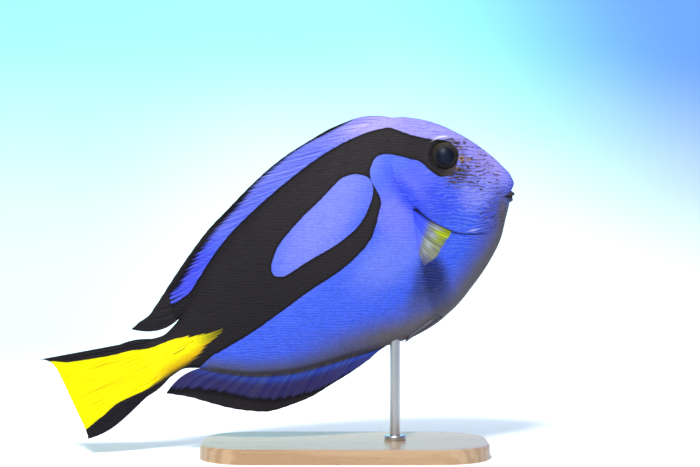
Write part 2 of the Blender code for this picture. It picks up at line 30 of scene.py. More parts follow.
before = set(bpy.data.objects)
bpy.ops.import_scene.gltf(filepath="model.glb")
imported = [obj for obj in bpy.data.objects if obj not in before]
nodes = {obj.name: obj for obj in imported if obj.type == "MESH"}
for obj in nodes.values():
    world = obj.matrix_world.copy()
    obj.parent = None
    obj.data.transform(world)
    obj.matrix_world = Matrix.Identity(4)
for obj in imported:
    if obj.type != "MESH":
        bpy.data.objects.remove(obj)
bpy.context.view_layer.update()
mm = 0.001
seed = np.random.default_rng(11)

pose = {"pitchDeg": 26.0, "snoutX": 71.0, "snoutZ": 112.4}
view = {"x": 2.1, "away": 695.0, "z": 92.83, "lens": 85.1}
cosPitch = math.cos(math.radians(pose["pitchDeg"]))
sinPitch = math.sin(math.radians(pose["pitchDeg"]))


def curveThrough(knots, x):
    # A monotone cubic through the knots, so that an outline never overshoots its own points.
    xs = np.array([knot[0] for knot in knots], float)
    ys = np.array([knot[1] for knot in knots], float)
    steps = np.diff(xs)
    slopes = np.diff(ys) / steps
    tangents = np.empty(len(xs))
    tangents[0], tangents[-1] = slopes[0], slopes[-1]
    product = slopes[:-1] * slopes[1:]
    weightA = 2 * steps[1:] + steps[:-1]
    weightB = steps[1:] + 2 * steps[:-1]
    safe = np.where(product > 0, product, 1)
    weighted = weightA * slopes[1:] + weightB * slopes[:-1] + (product <= 0)
    tangents[1:-1] = np.where(product > 0, (weightA + weightB) * safe / weighted, 0)
    x = np.clip(np.asarray(x, float), xs[0], xs[-1])
    place = np.clip(np.searchsorted(xs, x) - 1, 0, len(steps) - 1)
    width = steps[place]
    t = (x - xs[place]) / width
    start = ys[place] * (1 + 2 * t) * (1 - t) ** 2 + tangents[place] * width * t * (1 - t) ** 2
    end = ys[place + 1] * t * t * (3 - 2 * t) + tangents[place + 1] * width * t * t * (t - 1)
    return start + end


def smoothStep(x, low, high):
    t = np.clip((np.asarray(x, float) - low) / (high - low), 0, 1)
    return t * t * (3 - 2 * t)


def span(x, a, b, c, d):
    # Up from a to b, and down again from c to d.
    return smoothStep(x, a, b) * (1 - smoothStep(x, c, d))


def bell(x, width):
    return np.exp(-(np.asarray(x, float) / width) ** 2)


def between(pair, share):
    return pair[0] + (pair[1] - pair[0]) * share


def slanted(s, z, middle, reach, degrees=0):
    # Distance from the middle of a slanted ellipse, 1 on the ellipse itself.
    turn = math.radians(degrees)
    ds, dz = s - middle[0], z - middle[1]
    along = (ds * math.cos(turn) + dz * math.sin(turn)) / reach[0]
    up = (dz * math.cos(turn) - ds * math.sin(turn)) / reach[1]
    return np.hypot(along, up)


def toWorld(points):
    # Fish frame in millimetres to the row's frame in metres.
    p = np.asarray(points, float)
    x = pose["snoutX"] - p[..., 0] * cosPitch - p[..., 2] * sinPitch
    z = pose["snoutZ"] - p[..., 0] * sinPitch + p[..., 2] * cosPitch
    return np.stack([x, p[..., 1], z], -1) * mm


def markPlace(points):
    # Markings are drawn in the middle plane; a place on the flank is carried there along the lens's rays.
    world = toWorld(points) / mm
    grow = view["away"] / (view["away"] - np.abs(world[..., 1]))
    x = view["x"] + (world[..., 0] - view["x"]) * grow
    z = view["z"] + (world[..., 2] - view["z"]) * grow
    dx, dz = pose["snoutX"] - x, pose["snoutZ"] - z
    return dx * cosPitch + dz * sinPitch, dx * sinPitch - dz * cosPitch


# Meshes

def facesOf(*corners):
    # Faces from arrays that each hold one of their corners.
    return np.stack(corners, -1).reshape(-1, len(corners)).tolist()


def closedRings(rows, count, flip):
    # Rings of points, closed by a pole in front of the first and one behind the last.
    index = np.arange(rows * count).reshape(rows, count)
    beside = np.roll(index, -1, axis=1)
    first, last = np.full(count, rows * count), np.full(count, rows * count + 1)
    faces = facesOf(index[:-1], index[1:], beside[1:], beside[:-1])
    faces += facesOf(index[0], beside[0], first) + facesOf(beside[-1], index[-1], last)
    return [face[::-1] for face in faces] if flip else faces


def addMesh(name, points, faces, material):
    mesh = bpy.data.meshes.new(name)
    mesh.from_pydata(np.asarray(points).tolist(), [], faces)
    mesh.update()
    mesh.shade_smooth()
    mesh.materials.append(material)
    obj = bpy.data.objects.new(name, mesh)
    bpy.context.scene.collection.objects.link(obj)
    return obj


def addPiece(name, points, faces, material):
    obj = addMesh(name, points, faces, material)
    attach(obj, "root")
    return obj


def addFloat(obj, name, values):
    data = obj.data.attributes.new(name, "FLOAT", "POINT").data
    data.foreach_set("value", np.asarray(values, np.float32).ravel())


def addColour(obj, name, values):
    flat = np.ones((len(values), 4), np.float32)
    flat[:, :3] = values
    obj.data.attributes.new(name, "FLOAT_COLOR", "POINT").data.foreach_set("color", flat.ravel())


# Shape of the body, the same driving lengths as the solids

body = {
    "front": -0.9,
    "back": [(-0.9, 5.2), (-0.1, 8.6), (3, 16.7), (10.6, 29.9), (19.6, 40.3), (30, 47.4), (36, 49.6),
             (44, 50.7), (62, 49), (83, 44.6), (104, 38.2), (128, 27.4), (145, 16), (154, 10.4), (160, 8.7),
             (166, 9.8), (172, 11.4)],
    "belly": [(-0.9, 2.2), (0.4, 0.0), (2.4, -1.6), (4.5, -5.1), (8.9, -10.5), (15, -17.7), (23.1, -23.8),
              (35.6, -30.8), (47.2, -35.6), (60, -38.0), (66, -38.1), (75, -36.9), (93, -34.2),
              (114.8, -30.2), (130.7, -24.4), (145.2, -15.8), (153, -10.1), (159, -7.9), (166, -8.9),
              (172, -9.9)],
    "half": [(-0.9, 0.8), (0, 3.0), (5, 5.4), (15, 8.4), (25, 10.6), (40, 12.4), (55, 13), (75, 12.2),
             (95, 10.3), (115, 8), (135, 5.8), (150, 4.4), (160, 3.5), (164, 2.8), (168, 1.5), (172, 0.3)],
    "middle": [(-0.9, 3.6), (5, 3.4), (25, 8), (50, 8), (80, 6), (120, 3), (166, 0.4), (172, 0.6)],
    "backPower": [(-0.9, 0.5), (20, 0.52), (45, 0.62), (172, 0.62)],
    "bellyPower": [(-0.9, 0.5), (20, 0.58), (60, 0.62), (100, 0.64), (166, 0.6), (172, 0.6)],
}
gill = {
    "line": [(-16.5, 12.5), (-11.5, 21), (-8.2, 28), (-3.8, 33.5), (1.5, 37.5), (7.5, 40.5), (12.4, 42.2),
             (18, 43.5), (24, 43.8), (30, 42), (38, 36.5), (47, 26), (52, 19)],
    "swell": 0.5, "reach": 5.0, "middleZ": 6.0, "height": 14.0,  # the cover's own relief
    "ends": (-16.5, 34), "open": (-12.8, -10, 22, 32), "lift": 0.3, "depth": 0.55, "width": 0.34,
}


def alongBody(name, s):
    # The snout is round, so its outline is read over the square root of the distance from its front.
    rooted = [(math.sqrt(knot[0] - body["front"]), knot[1]) for knot in body[name]]
    return curveThrough(rooted, np.sqrt(np.maximum(np.asarray(s, float) - body["front"], 0)))


def gillEdge(z):
    return curveThrough(gill["line"], z)


def halfWidth(s, z):
    middle = alongBody("middle", s)
    above = z > middle
    top = alongBody("back", s) - middle
    bottom = middle - alongBody("belly", s)
    share = np.abs(z - middle) / np.where(above, top, bottom)
    power = np.where(above, alongBody("backPower", s), alongBody("bellyPower", s))
    inside = np.clip((gillEdge(z) - s) / gill["reach"], 0, 2)
    relief = gill["swell"] * np.sin(np.pi * inside / 2) ** 2 * bell(z - gill["middleZ"], gill["height"])
    return (alongBody("half", s) + relief) * np.clip(1 - share * share, 0, 1) ** power


# Markings, as outlines in the fish's middle plane

palette = {
    "bandTop": [(18.1, 30.8), (22.9, 33.6), (26.3, 36.2), (29.6, 39), (32.7, 42.1), (35.8, 45.2),
                (39.9, 46.6), (48.6, 48), (62.6, 47.8), (77.8, 45.4), (93.7, 41.7), (110.2, 36.7),
                (121.8, 31.9), (134.9, 24.2), (141, 20.4), (146, 19), (152, 18.4), (160, 18)],
    "bandRear": [(218, 32), (218, -32), (152, -10.3)],
    "bandLow": [(141.4, -8.2), (126.7, -6.9), (111.5, -4.5), (96.2, -1.7), (86.2, -0.5), (75.9, 1.5),
                (65.6, 5.4), (60, 10.1), (54.6, 16.4), (52.8, 19.2), (52.4, 22.8), (52.7, 26.2), (52.5, 29.3),
                (51.4, 32.6), (49.4, 34.8), (47.3, 36.2), (44.8, 36.6), (40.8, 35.1), (34.1, 29.7),
                (30.9, 26.8), (29.1, 22.6), (27.9, 20.0), (26.2, 17.5), (23.1, 16.4), (20.3, 16.8),
                (17.0, 19.6), (14.6, 23.6), (15.3, 27.4)],
    "hole": [(55.2, 32.5), (53.4, 30.2), (53.1, 27.3), (54, 24.5), (56.6, 21), (63.6, 15.2), (71.7, 12.1),
             (80.9, 10.6), (90.4, 10), (99.5, 8.8), (104.3, 8.9), (107, 11.5), (105.3, 15.9), (98.8, 21.6),
             (86.9, 26.9), (75.8, 30.6), (64.4, 34.7), (58.9, 34.4)],
    "wedgeTop": [(210, 19), (199.9, 15.5), (183.6, 10.6), (175.2, 8.8), (167.1, 6.1), (156, 5), (145.9, 1.8),
                 (136.5, -0.3)],
    "wedgeLow": [(143.3, -2.5), (154.3, -6), (166.5, -7.1), (176.7, -8.7), (189.3, -8.6), (198.8, -11),
                 (210, -12), (214, 0)],
}

# Zones of tone: middle (s, z), reach along and up, slant in degrees, colour as the eye sees it, strength,
# and for a crisp zone the power of its edge
flankTone = (64, 102, 250)
softEdge = 1.6
tones = {
    "upperFlank": ((60, -4), (19, 10), -12, (112, 133, 252), 0.95),
    "behindEye": ((36, 17), (13, 12), 20, (100, 112, 251), 0.9),
    # Painted sheen: the blue inside the band's hole is lighter than the flank's blue.
    "hole": ((80, 21), (32, 12), -30, (131, 141, 251), 1.0),
    "shoulder": ((51, 11), (8, 11), 0, (126, 134, 253), 0.9),
    "dorsal": ((76, 52), (34, 9), -10, (118, 130, 242), 1.0),
    "dorsalMid": ((110, 44), (20, 8), -22, (112, 121, 241), 0.9),
    "dorsalRear": ((140, 27), (18, 9), -32, (72, 78, 240), 0.95),
    # Painted sheen of the top light: the paler lilac over the nape, crown and forehead.
    "napeSheen": ((35, 49), (24, 8), 8, (182, 170, 252), 1.0),
    "crown": ((25, 39), (12, 7), 35, (168, 160, 250), 1.0),
    "foreheadSheen": ((13, 33), (14, 10), 45, (172, 163, 244), 1.0),
    "snout": ((5, 14), (10, 14), 0, (166, 152, 240), 1.0),
    "cheekLight": ((15, 5), (9, 8), 10, (142, 148, 250), 0.9),
    # Painted shade: deeper blue on the cheek below the eye and in the groove behind the gill cover.
    "cheekShade": ((30, 9), (8, 9), 0, (60, 86, 248), 0.9),
    "gillGrooveShade": ((41.6, 14.5), (3.7, 13.5), -12, (46, 72, 247), 0.9),
    "jaw": ((13, -7), (14, 6), -35, (66, 80, 214), 0.85),
    # Painted shadow: the dark wedge that the pectoral fin casts on the lower flank and the breast.
    "pectoralShadow": ((48.8, -21.3), (11.5, 7.8), -64, (42, 55, 128), 0.92, 3),
    "pectoralShadowLow": ((55.1, -27.8), (8, 8), -64, (52, 62, 114), 0.85, 2),
}


def smoothLoop(points, steps=8):
    # A closed Catmull-Rom line through the points.
    p = np.array(points, float)
    p = np.vstack([p[-1], p, p[0], p[1]])
    t = np.arange(steps)[:, None] / steps
    line = []
    for k in range(len(p) - 3):
        a, b, c, d = p[k:k + 4]
        line.append(0.5 * (2 * b + (c - a) * t + (2 * a - 5 * b + 4 * c - d) * t ** 2
                           + (3 * b - a - 3 * c + d) * t ** 3))
    return np.vstack(line)


bandLine = smoothLoop(palette["bandTop"] + palette["bandRear"] + palette["bandLow"])
holeLine = smoothLoop(palette["hole"])
wedgeLine = smoothLoop(palette["wedgeTop"] + palette["wedgeLow"])


def distanceTo(line, s, z, closed=False):
    # Distance from each place to a line of (s, z) points; negative inside a closed one.
    s, z = np.asarray(s, float), np.asarray(z, float)
    shape = s.shape
    s, z = s.ravel(), z.ravel()
    best = np.full(s.shape, 1e9)
    inside = np.zeros(s.shape, bool)
    ends = zip(line, np.roll(line, -1, axis=0)) if closed else zip(line, line[1:])
    for (s0, z0), (s1, z1) in ends:
        ds, dz = s1 - s0, z1 - z0
        t = np.clip(((s - s0) * ds + (z - z0) * dz) / (ds * ds + dz * dz + 1e-12), 0, 1)
        best = np.minimum(best, (s - s0 - t * ds) ** 2 + (z - z0 - t * dz) ** 2)
        if closed and z0 != z1:
            inside ^= ((z0 > z) != (z1 > z)) & (s < ds * (z - z0) / dz + s0)
    best = np.sqrt(best)
    return np.where(inside, -best, best).reshape(shape)


def toLinear(rgb):
    # From display values, 0 to 255, to light.
    c = np.asarray(rgb, float) / 255
    return np.where(c <= 0.04045, c / 12.92, ((c + 0.055) / 1.055) ** 2.4)


def washed(colour, rgb, share):
    # A colour with a share of another over it, at each point.
    return colour + np.asarray(share)[..., None] * (toLinear(rgb) - colour)


def bodyTone(s, z):
    colour = np.broadcast_to(toLinear(flankTone), s.shape + (3,))
    for middle, reach, slant, rgb, strength, *crisp in tones.values():
        power = crisp[0] if crisp else softEdge
        colour = washed(colour, rgb, strength * np.exp(-slanted(s, z, middle, reach, slant) ** (2 * power)))
    return colour


def addMarks(obj, points):
    # The same markings on skin, scales and fins, read at each point's own place.
    s, z = markPlace(points)
    addFloat(obj, "band", np.maximum(distanceTo(bandLine, s, z, True), -distanceTo(holeLine, s, z, True)))
    addFloat(obj, "wedge", distanceTo(wedgeLine, s, z, True))
    addColour(obj, "tone", bodyTone(s, z))
    addFloat(obj, "belly", z - alongBody("belly", s))
    addFloat(obj, "markS", s)
    addFloat(obj, "markZ", z)


# Shader maths

class Wire:
    # A socket in a material, so that shader maths reads as an expression.
    def __init__(self, tree, socket=None):
        self.tree, self.socket = tree, socket

    def node(self, kind, settings=None, values=None, outlet=0):
        made = self.tree.nodes.new("ShaderNode" + kind)
        for name, value in (settings or {}).items():
            setattr(made, name, value)
        for name, value in (values or {}).items():
            if isinstance(value, Wire):
                self.tree.links.new(value.socket, made.inputs[name])
            elif value is not None:
                made.inputs[name].default_value = value
        return Wire(self.tree, made.outputs[outlet])

    def maths(self, operation, other, swap=False):
        pair = {0: other, 1: self} if swap else {0: self, 1: other}
        return self.node("Math", {"operation": operation}, pair)

    def __add__(self, other):
        return self.maths("ADD", other)

    __radd__ = __add__

    def __sub__(self, other):
        return self.maths("SUBTRACT", other)

    def __rsub__(self, other):
        return self.maths("SUBTRACT", other, swap=True)

    def __mul__(self, other):
        return self.maths("MULTIPLY", other)

    __rmul__ = __mul__

    def __truediv__(self, other):
        return self.maths("DIVIDE", other)

    def rise(self, low, high):
        # 0 below low, 1 above high, smooth between.
        return self.node("MapRange", {"interpolation_type": "SMOOTHSTEP"},
                         {"Value": self, "From Min": low, "From Max": high})

    def span(self, a, b, c, d):
        # Up from a to b, and down again from c to d.
        return self.rise(a, b) * (1 - self.rise(c, d))

    def fade(self, first, second):
        # The first colour where this is 0, the second where it is 1.
        return self.node("Mix", {"data_type": "RGBA"}, {0: self, 6: (*first, 1), 7: (*second, 1)}, 2)

    def mixed(self, colour, share):
        # This colour with a share of another over it.
        colour = colour if isinstance(colour, Wire) else (*colour, 1)
        return self.node("Mix", {"data_type": "RGBA"}, {0: share, 6: self, 7: colour}, 2)

    def scaled(self, amount):
        # A colour or a vector made larger or smaller by a number.
        return self.node("VectorMath", {"operation": "SCALE"}, {0: self, "Scale": amount})

    def stretched(self, by):
        return self.node("VectorMath", {"operation": "MULTIPLY"}, {0: self, 1: by})

    def axes(self):
        return [self.node("SeparateXYZ", None, {0: self}, axis) for axis in range(3)]

    def vector(self, x, y, z):
        return self.node("CombineXYZ", None, {0: x, 1: y, 2: z})

    def objectPlace(self):
        return self.node("TexCoord", outlet="Object")

    def attribute(self, name, outlet="Fac"):
        return self.node("Attribute", {"attribute_name": name}, None, outlet)

    def noise(self, scale=1.0, detail=2.0, rough=0.5):
        # Noise over this place.
        return self.node("TexNoise", None,
                         {"Vector": self, "Scale": scale, "Detail": detail, "Roughness": rough})

    def bands(self, scale, distortion, detail, detailScale, axis="Z"):
        # Wavy bands over this place.
        return self.node("TexWave", {"wave_type": "BANDS", "bands_direction": axis},
                         {"Vector": self, "Scale": scale, "Distortion": distortion, "Detail": detail,
                          "Detail Scale": detailScale})

    def bump(self, distance, strength, under=None):
        # This height as a bump, over another one if there is one.
        return self.node("Bump", None,
                         {"Height": self, "Distance": distance, "Strength": strength, "Normal": under})


def startMaterial(name, fixed):
    # A Principled material; fixed holds what is the same all over it.
    material = bpy.data.materials.new(name)
    material.use_nodes = True
    shader = material.node_tree.nodes["Principled BSDF"]
    for socket, value in fixed.items():
        shader.inputs[socket].default_value = value
    return material, shader, Wire(material.node_tree)


def finishMaterial(wire, shader, sockets):
    for name, value in sockets.items():
        wire.tree.links.new(value.socket, shader.inputs[name])


# Paint of the fish; its sizes are millimetres in the fish's frame

paint = {
    # blackFront is a little lighter than blackRear: painted sheen towards the head.
    "blackFront": (0.018, 0.015, 0.018), "blackRear": (0.013, 0.011, 0.014),
    "blackEdge": (0.003, 0.002, 0.003),
    # The belly colours are partly the belly's own duller colour and partly painted shade of the underside.
    "bellyGrey": (0.122, 0.113, 0.134), "bellyBlue": (0.082, 0.096, 0.34),
    "keelGrey": (0.088, 0.092, 0.155), "keelLine": (0.052, 0.049, 0.06),
    "pale": (0.42, 0.50, 1.0), "deep": (0.02, 0.055, 0.85),
    "yellow": (0.93, 0.85, 0.0), "orange": (0.70, 0.40, 0.002), "olive": (0.09, 0.075, 0.006),
    "brown": (0.048, 0.034, 0.042), "gold": (0.17, 0.105, 0.035), "darkByEye": (0.055, 0.040, 0.035),
    # pit is painted shade in the nostrils' pits.
    "nostril": (0.27, 0.165, 0.025), "pit": (0.012, 0.008, 0.008), "glint": (0.85, 0.86, 1.0),
    # mouth and slit are painted shade in the mouth's cleft and in the gill slit.
    "lip": (0.045, 0.039, 0.043), "mouth": (0.004, 0.003, 0.003), "slit": (0.006, 0.013, 0.10),
}
lineLook = {
    "head": (225.0, 9.0, 3.0, 1.7), "flank": (290.0, 7.0, 2.0, 1.4), "brown": (190.0, 9.0, 3.0, 2.6),
    "headEnd": (20, 44), "long": 0.42, "slant": 0.36, "slantX": 0.06, "jawTop": (-9, 4), "jawEnd": (16, 30),
    "patches": (120, 160, 420), "breaks": (900, 900, 1100), "warm": (1500, 1500, 1300),
}
bellyLook = {
    "blueS": (2, 9, 84, 120), "blueUp": (5, 15), "greyS": (2, 9, 76, 100), "greyUp": (1.5, 8.5),
    "deeper": (47, 60), "drop": 1.8, "cloud": 4, "keelS": (72, 96, 146, 153), "keelZ": (0, 4),
    "keelUp": (1.0, 10.5), "lineUp": (1.2, 2.8),
}
# low, lowS and lowZ place the painted shade under the tail stalk.
wedgeLook = {
    "rays": (0.05, 1.3, 0.1), "lowS": (162, 178), "lowZ": (-4.5, 0.5), "low": (-5.4, -0.6),
    "oliveS": (130, 145), "softZ": (-6.5, -3), "softS": (166, 178), "crisp": 0.25, "soft": 1.1,
    "raggedS": (146, 158), "ragged": 5,
}
brightness = 0.76  # the tones are those of the lit fish
wobbleWidth = 0.7


def tailYellow(wire, s, z, wedge, cloud):
    # The yellow of the tail: orange between the rays and olive at its front, and orange low down on the stalk
    # as painted shade of its underside.
    along, up, tilt = wedgeLook["rays"]
    rays = wire.vector(s * along, z * up - s * tilt, 0.0).noise(1.0, 3, 0.6)
    gold = (cloud.rise(0.45, 0.8) * 0.12).fade(paint["yellow"], paint["orange"])
    # Painted shade: orange on the underside of the tail stalk.
    lower = (wedge + (rays - 0.5) * 6).rise(*wedgeLook["low"])
    lower = lower * (1 - z.rise(*wedgeLook["lowZ"])) * (1 - s.rise(*wedgeLook["lowS"]))
    gold = gold.mixed(paint["orange"], lower * 0.9)
    gold = gold.mixed(paint["orange"], (1 - rays.rise(0.3, 0.52)) * 0.6)
    return gold.mixed(paint["olive"], (1 - (s - rays * 14).rise(*wedgeLook["oliveS"])) * 0.92), rays


def fishPaint(wire):
    # Colour of skin, scales and fins: tone, level streaks, belly, black band, yellow wedge.
    place = wire.objectPlace()
    s, z, band, wedge, belly = (wire.attribute(name) for name in ("markS", "markZ", "band", "wedge", "belly"))
    x, y, up = place.axes()
    # The fine lines of the coat run level, and along the jaw they follow the fish
    jaw = (1 - z.rise(*lineLook["jawTop"])) * (1 - s.rise(*lineLook["jawEnd"]))
    slant = up - (x - lineLook["slantX"]) * jaw * lineLook["slant"]
    level = wire.vector(x * lineLook["long"], y * lineLook["long"], slant)
    ripple, weave = level.bands(*lineLook["head"]), level.bands(*lineLook["flank"])
    patchy = place.stretched(lineLook["patches"]).noise()
    head = 1 - s.rise(*lineLook["headEnd"])
    streak = (ripple * head + weave * (1 - head)) * 0.55 + patchy * 0.45
    grain = place.noise(1500, 2, 0.6)
    cloud = place.noise(90, 3, 0.55)
    wobble = (place.noise(420, 3, 0.6) - 0.5) * wobbleWidth

    colour = wire.attribute("tone", "Color").scaled(brightness)
    colour = colour.mixed(paint["pale"], streak.rise(0.45, 0.85) * (0.10 + head * 0.12))
    colour = colour.mixed(paint["deep"], (1 - streak.rise(0.12, 0.5)) * (0.16 + head * 0.18))
    colour = colour.scaled(0.93 + grain * 0.14)

    # Grey and deeper blue along the belly: partly its own duller colour, partly painted shade of the
    # underside.
    under = belly + (cloud - 0.5) * bellyLook["cloud"] - s.rise(*bellyLook["deeper"]) * bellyLook["drop"]
    colour = colour.mixed(paint["bellyBlue"],
                          (1 - under.rise(*bellyLook["blueUp"])) * s.span(*bellyLook["blueS"]) * 0.85)
    colour = colour.mixed(paint["bellyGrey"],
                          (1 - under.rise(*bellyLook["greyUp"])) * s.span(*bellyLook["greyS"]))
    keel = s.span(*bellyLook["keelS"]) * (1 - z.rise(*bellyLook["keelZ"]))
    keelUp = belly + (cloud - 0.5) * 2
    colour = colour.mixed(paint["keelGrey"], (1 - keelUp.rise(*bellyLook["keelUp"])) * keel * 0.9)
    colour = colour.mixed(paint["keelLine"], (1 - belly.rise(*bellyLook["lineUp"])) * keel * 0.85)

    # The band is painted a little lighter towards the head; that difference is painted sheen.
    black = s.rise(50, 130).fade(paint["blackFront"], paint["blackRear"])
    black = black.scaled(0.55 + grain * 0.4 + weave.rise(0.1, 0.9) * 0.5)
    edge = band + wobble
    black = black.mixed(paint["blackEdge"], edge.rise(-1.6, -0.2) * 0.8)
    colour = colour.mixed(black, 1 - edge.rise(-0.22, 0.22))

    gold, rays = tailYellow(wire, s, z, wedge, cloud)
    soft = (1 - z.rise(*wedgeLook["softZ"])) * (1 - s.rise(*wedgeLook["softS"]))
    reach = wedgeLook["crisp"] + soft * wedgeLook["soft"]
    ragged = (rays - 0.5) * (1 - s.rise(*wedgeLook["raggedS"])) * wedgeLook["ragged"]
    colour = colour.mixed(gold, 1 - ((wedge + wobble * 0.6 + ragged) / reach).rise(-1, 1))
    return {"colour": colour, "place": place, "level": level, "grain": grain, "streak": streak}


def facePaint(wire, base):
    # Broken brown lines over the snout, the darker patch by the eye, the pale glints, which are painted
    # highlights, and the nostrils, with painted shade in their pits.
    colour, level = base["colour"], base["level"]
    lines = level.bands(*lineLook["brown"])
    breaks = level.stretched(lineLook["breaks"]).noise(1.0, 2, 0.55)
    warm = level.stretched(lineLook["warm"]).noise()
    mask, darkByEye, spot = (wire.attribute(name) for name in ("faceLines", "darkByEye", "nostril"))
    colour = colour.mixed(paint["darkByEye"], darkByEye * (0.95 - lines.rise(0.3, 0.9) * 0.6))
    thick = mask * 0.7 + 0.3 + darkByEye * 0.9
    dark = (1 - (lines / thick).rise(0.16, 0.6)) * (breaks + mask * 0.08 + darkByEye * 0.12).rise(0.5, 0.6)
    # Painted highlights from the glint mask.
    colour = colour.mixed(paint["glint"], wire.attribute("glint"))
    brown = warm.rise(0.52, 0.66).fade(paint["brown"], paint["gold"])
    colour = colour.mixed(brown, dark * (mask + darkByEye).rise(0, 0.4) * 0.9)
    # The nostrils' own gold, with painted shade near black in their pits.
    return colour.mixed(paint["nostril"], spot).mixed(paint["pit"], spot.rise(0.76, 0.9))


def skinMaterial():
    material, shader, wire = startMaterial("fish_skin", {"Specular IOR Level": 0.15, "Coat Roughness": 0.2,
                                                         "Coat IOR": 1.36})
    base = fishPaint(wire)
    grain, mouth = base["grain"], wire.attribute("mouth")
    colour = facePaint(wire, base).mixed(paint["lip"], wire.attribute("lip"))
    # Painted shade: the mouth's cleft near black and the gill slit dark navy.
    colour = colour.mixed(paint["mouth"], mouth).mixed(paint["slit"], wire.attribute("slit"))
    dull = 1 - wire.attribute("band").rise(-0.4, 0.4)
    rough = 0.42 + grain * 0.16 + mouth * 0.2 + dull * 0.22
    sheen = (0.03 + base["place"].noise(60) * 0.06) * (1 - dull)
    bump = base["streak"].bump(0.0002, 0.35, grain.bump(0.00012, 0.5))
    finishMaterial(wire, shader, {"Base Color": colour, "Roughness": rough, "Coat Weight": sheen,
                                  "Normal": bump})
    return material


def scaleMaterial():
    material, shader, wire = startMaterial("fish_scales", {"Specular IOR Level": 0.15, "Coat Roughness": 0.24,
                                                           "Coat IOR": 1.36})
    base = fishPaint(wire)
    tint, rim = wire.attribute("scaleTint"), wire.attribute("scaleRim")
    # The gill slit's dark navy is painted shade here too.
    colour = facePaint(wire, base).mixed(paint["slit"], wire.attribute("slit"))
    colour = colour.scaled(0.90 + tint * 0.18).scaled(1.03 - rim * 0.14)
    dull = 1 - wire.attribute("band").rise(-0.4, 0.4)
    finishMaterial(wire, shader, {"Base Color": colour, "Roughness": 0.40 + tint * 0.16 + dull * 0.22,
                                  "Coat Weight": (0.02 + tint * 0.07) * (1 - dull),
                                  "Normal": base["grain"].bump(0.00008, 0.4)})
    return material


def finMaterial(name, streaks, specular):
    # streaks tells how strongly the fine lines along the membrane show.
    material, shader, wire = startMaterial(name, {"Specular IOR Level": specular, "Coat Roughness": 0.25})
    base = fishPaint(wire)
    colour, grain = base["colour"], base["grain"]
    ray, edge, s = wire.attribute("ray"), wire.attribute("edge"), wire.attribute("markS")
    lines = wire.vector(wire.attribute("flow"), s * 0.03, 0.0).noise(1.15, 3, 0.6)
    colour = colour.mixed(wire.attribute("finTint", "Color"), wire.attribute("tinted"))
    shade = 1 + (lines.rise(0.3, 0.7) - 0.5) * streaks - ray * 0.10
    colour = colour.stretched(wire.vector(shade, shade, 1.0 - ray * 0.06))
    margin = edge.rise(-1.4, -0.3).fade(paint["blackRear"], paint["blackEdge"])
    fuzz = (lines - 0.5) * wire.attribute("loose")
    colour = colour.mixed(margin, 1 - (edge + fuzz).rise(-0.4, 0.5))
    finishMaterial(wire, shader, {"Base Color": colour, "Roughness": 0.42 + grain * 0.16,
                                  "Coat Weight": 0.01 + ray * 0.04, "Normal": grain.bump(0.0001, 0.4)})
    return material


# Skin: one closed surface from the snout to the sheath of the tail fin

skinForm = {
    "stations": 392, "girth": 126, "inside": 0.10, "start": -0.88, "end": 171.8, "nose": 0.02,
    "step": [(-0.9, 0.03), (0.2, 0.11), (4, 0.19), (12, 0.28), (45, 0.32), (60, 0.52), (150, 0.52),
             (172, 0.36)],
}
mouthForm = {
    "half": 3.4, "corner": 0.45,  # half width of the mouth, and the lips' thickness at its corners
    "upper": {"front": 2.2, "z": -2.5, "depth": 3.6, "radius": 1.15, "cornerZ": -1.3},
    "lower": {"front": 3.65, "z": -4.15, "depth": 2.8, "radius": 1.0, "cornerZ": -2.4},
    "line": [(-1.5, -4.1), (1.5, -3.55), (3.4, -2.95), (6.2, -1.65)], "cut": 1.0, "width": 0.24,
    "fadeIn": 4.8, "end": 6.2, "back": 9.5, "middleZ": -3, "high": 9, "farthest": 3.4, "steps": 28,
    "lipBlend": 0.15, "skinBlend": 0.7,
}
eyeForm = {
    "s": 21.1, "y": 5.5, "z": 24.1, "radius": 6.1, "depth": 4.5, "open": 5.5, "rim": 6.8, "orbit": 2.6,
    "clear": 0.55, "soften": 6, "floor": 2.4, "floorFrom": 4.0,
    "ridges": [(5.62, 0.3, 0.2), (7.3, 0.8, 0.2)],  # radius, width, height
}
browForm = {"radius": 8.2, "width": 0.8, "height": 0.4, "up": (3, 7), "rear": (22, 26)}
nostrils = {"places": [(15.2, 20.3, 0.7), (12.9, 18.6, 0.45)], "pit": 0.8, "rim": 0.22}  # s, z, radius
finPad = {"middle": (43.6, 4.6), "reach": (2.6, 6.4), "lift": 0.35}
spineForm = {
    "s": 152.4, "z": 0.2, "length": 7.0, "radius": 0.85, "steps": 26, "around": 20,
    "sheath": (149, 152.5, 160, 162.5), "sheathHigh": 1.5, "sheathLift": 0.28, "groove": 0.75,
    "grooveDepth": 0.55,
}
flesh = {"height": 0.05, "waveS": 0.55, "waveZ": 0.23, "span": (14, 30, 150, 160)}


def smoothLeast(a, b, blend):
    h = np.clip(0.5 + 0.5 * (b - a) / blend, 0, 1)
    return b * (1 - h) + a * h - blend * h * (1 - h)


def lipDistance(points, lip, samples=28):
    best = np.full(points.shape[:-1], 1e9)
    for turn in np.linspace(0, math.pi / 2, samples):
        c = 1 - math.cos(turn)
        centre = np.array([lip["front"] + lip["depth"] * c, mouthForm["half"] * math.sin(turn),
                           between((lip["z"], lip["cornerZ"]), c)])
        radius = lip["radius"] * between((mouthForm["corner"], 1), math.cos(turn))
        best = np.minimum(best, np.linalg.norm(points - centre, axis=-1) - radius)
    return best


def skinStations():
    # Stations stand closest at the mouth, gills and eye.
    s = np.linspace(skinForm["start"], skinForm["end"], 6000)
    step = curveThrough(skinForm["step"], s)
    run = np.concatenate([[0], np.cumsum((s[1:] - s[:-1]) / step[1:])])
    return np.interp(np.linspace(0, run[-1], skinForm["stations"]), run, s)


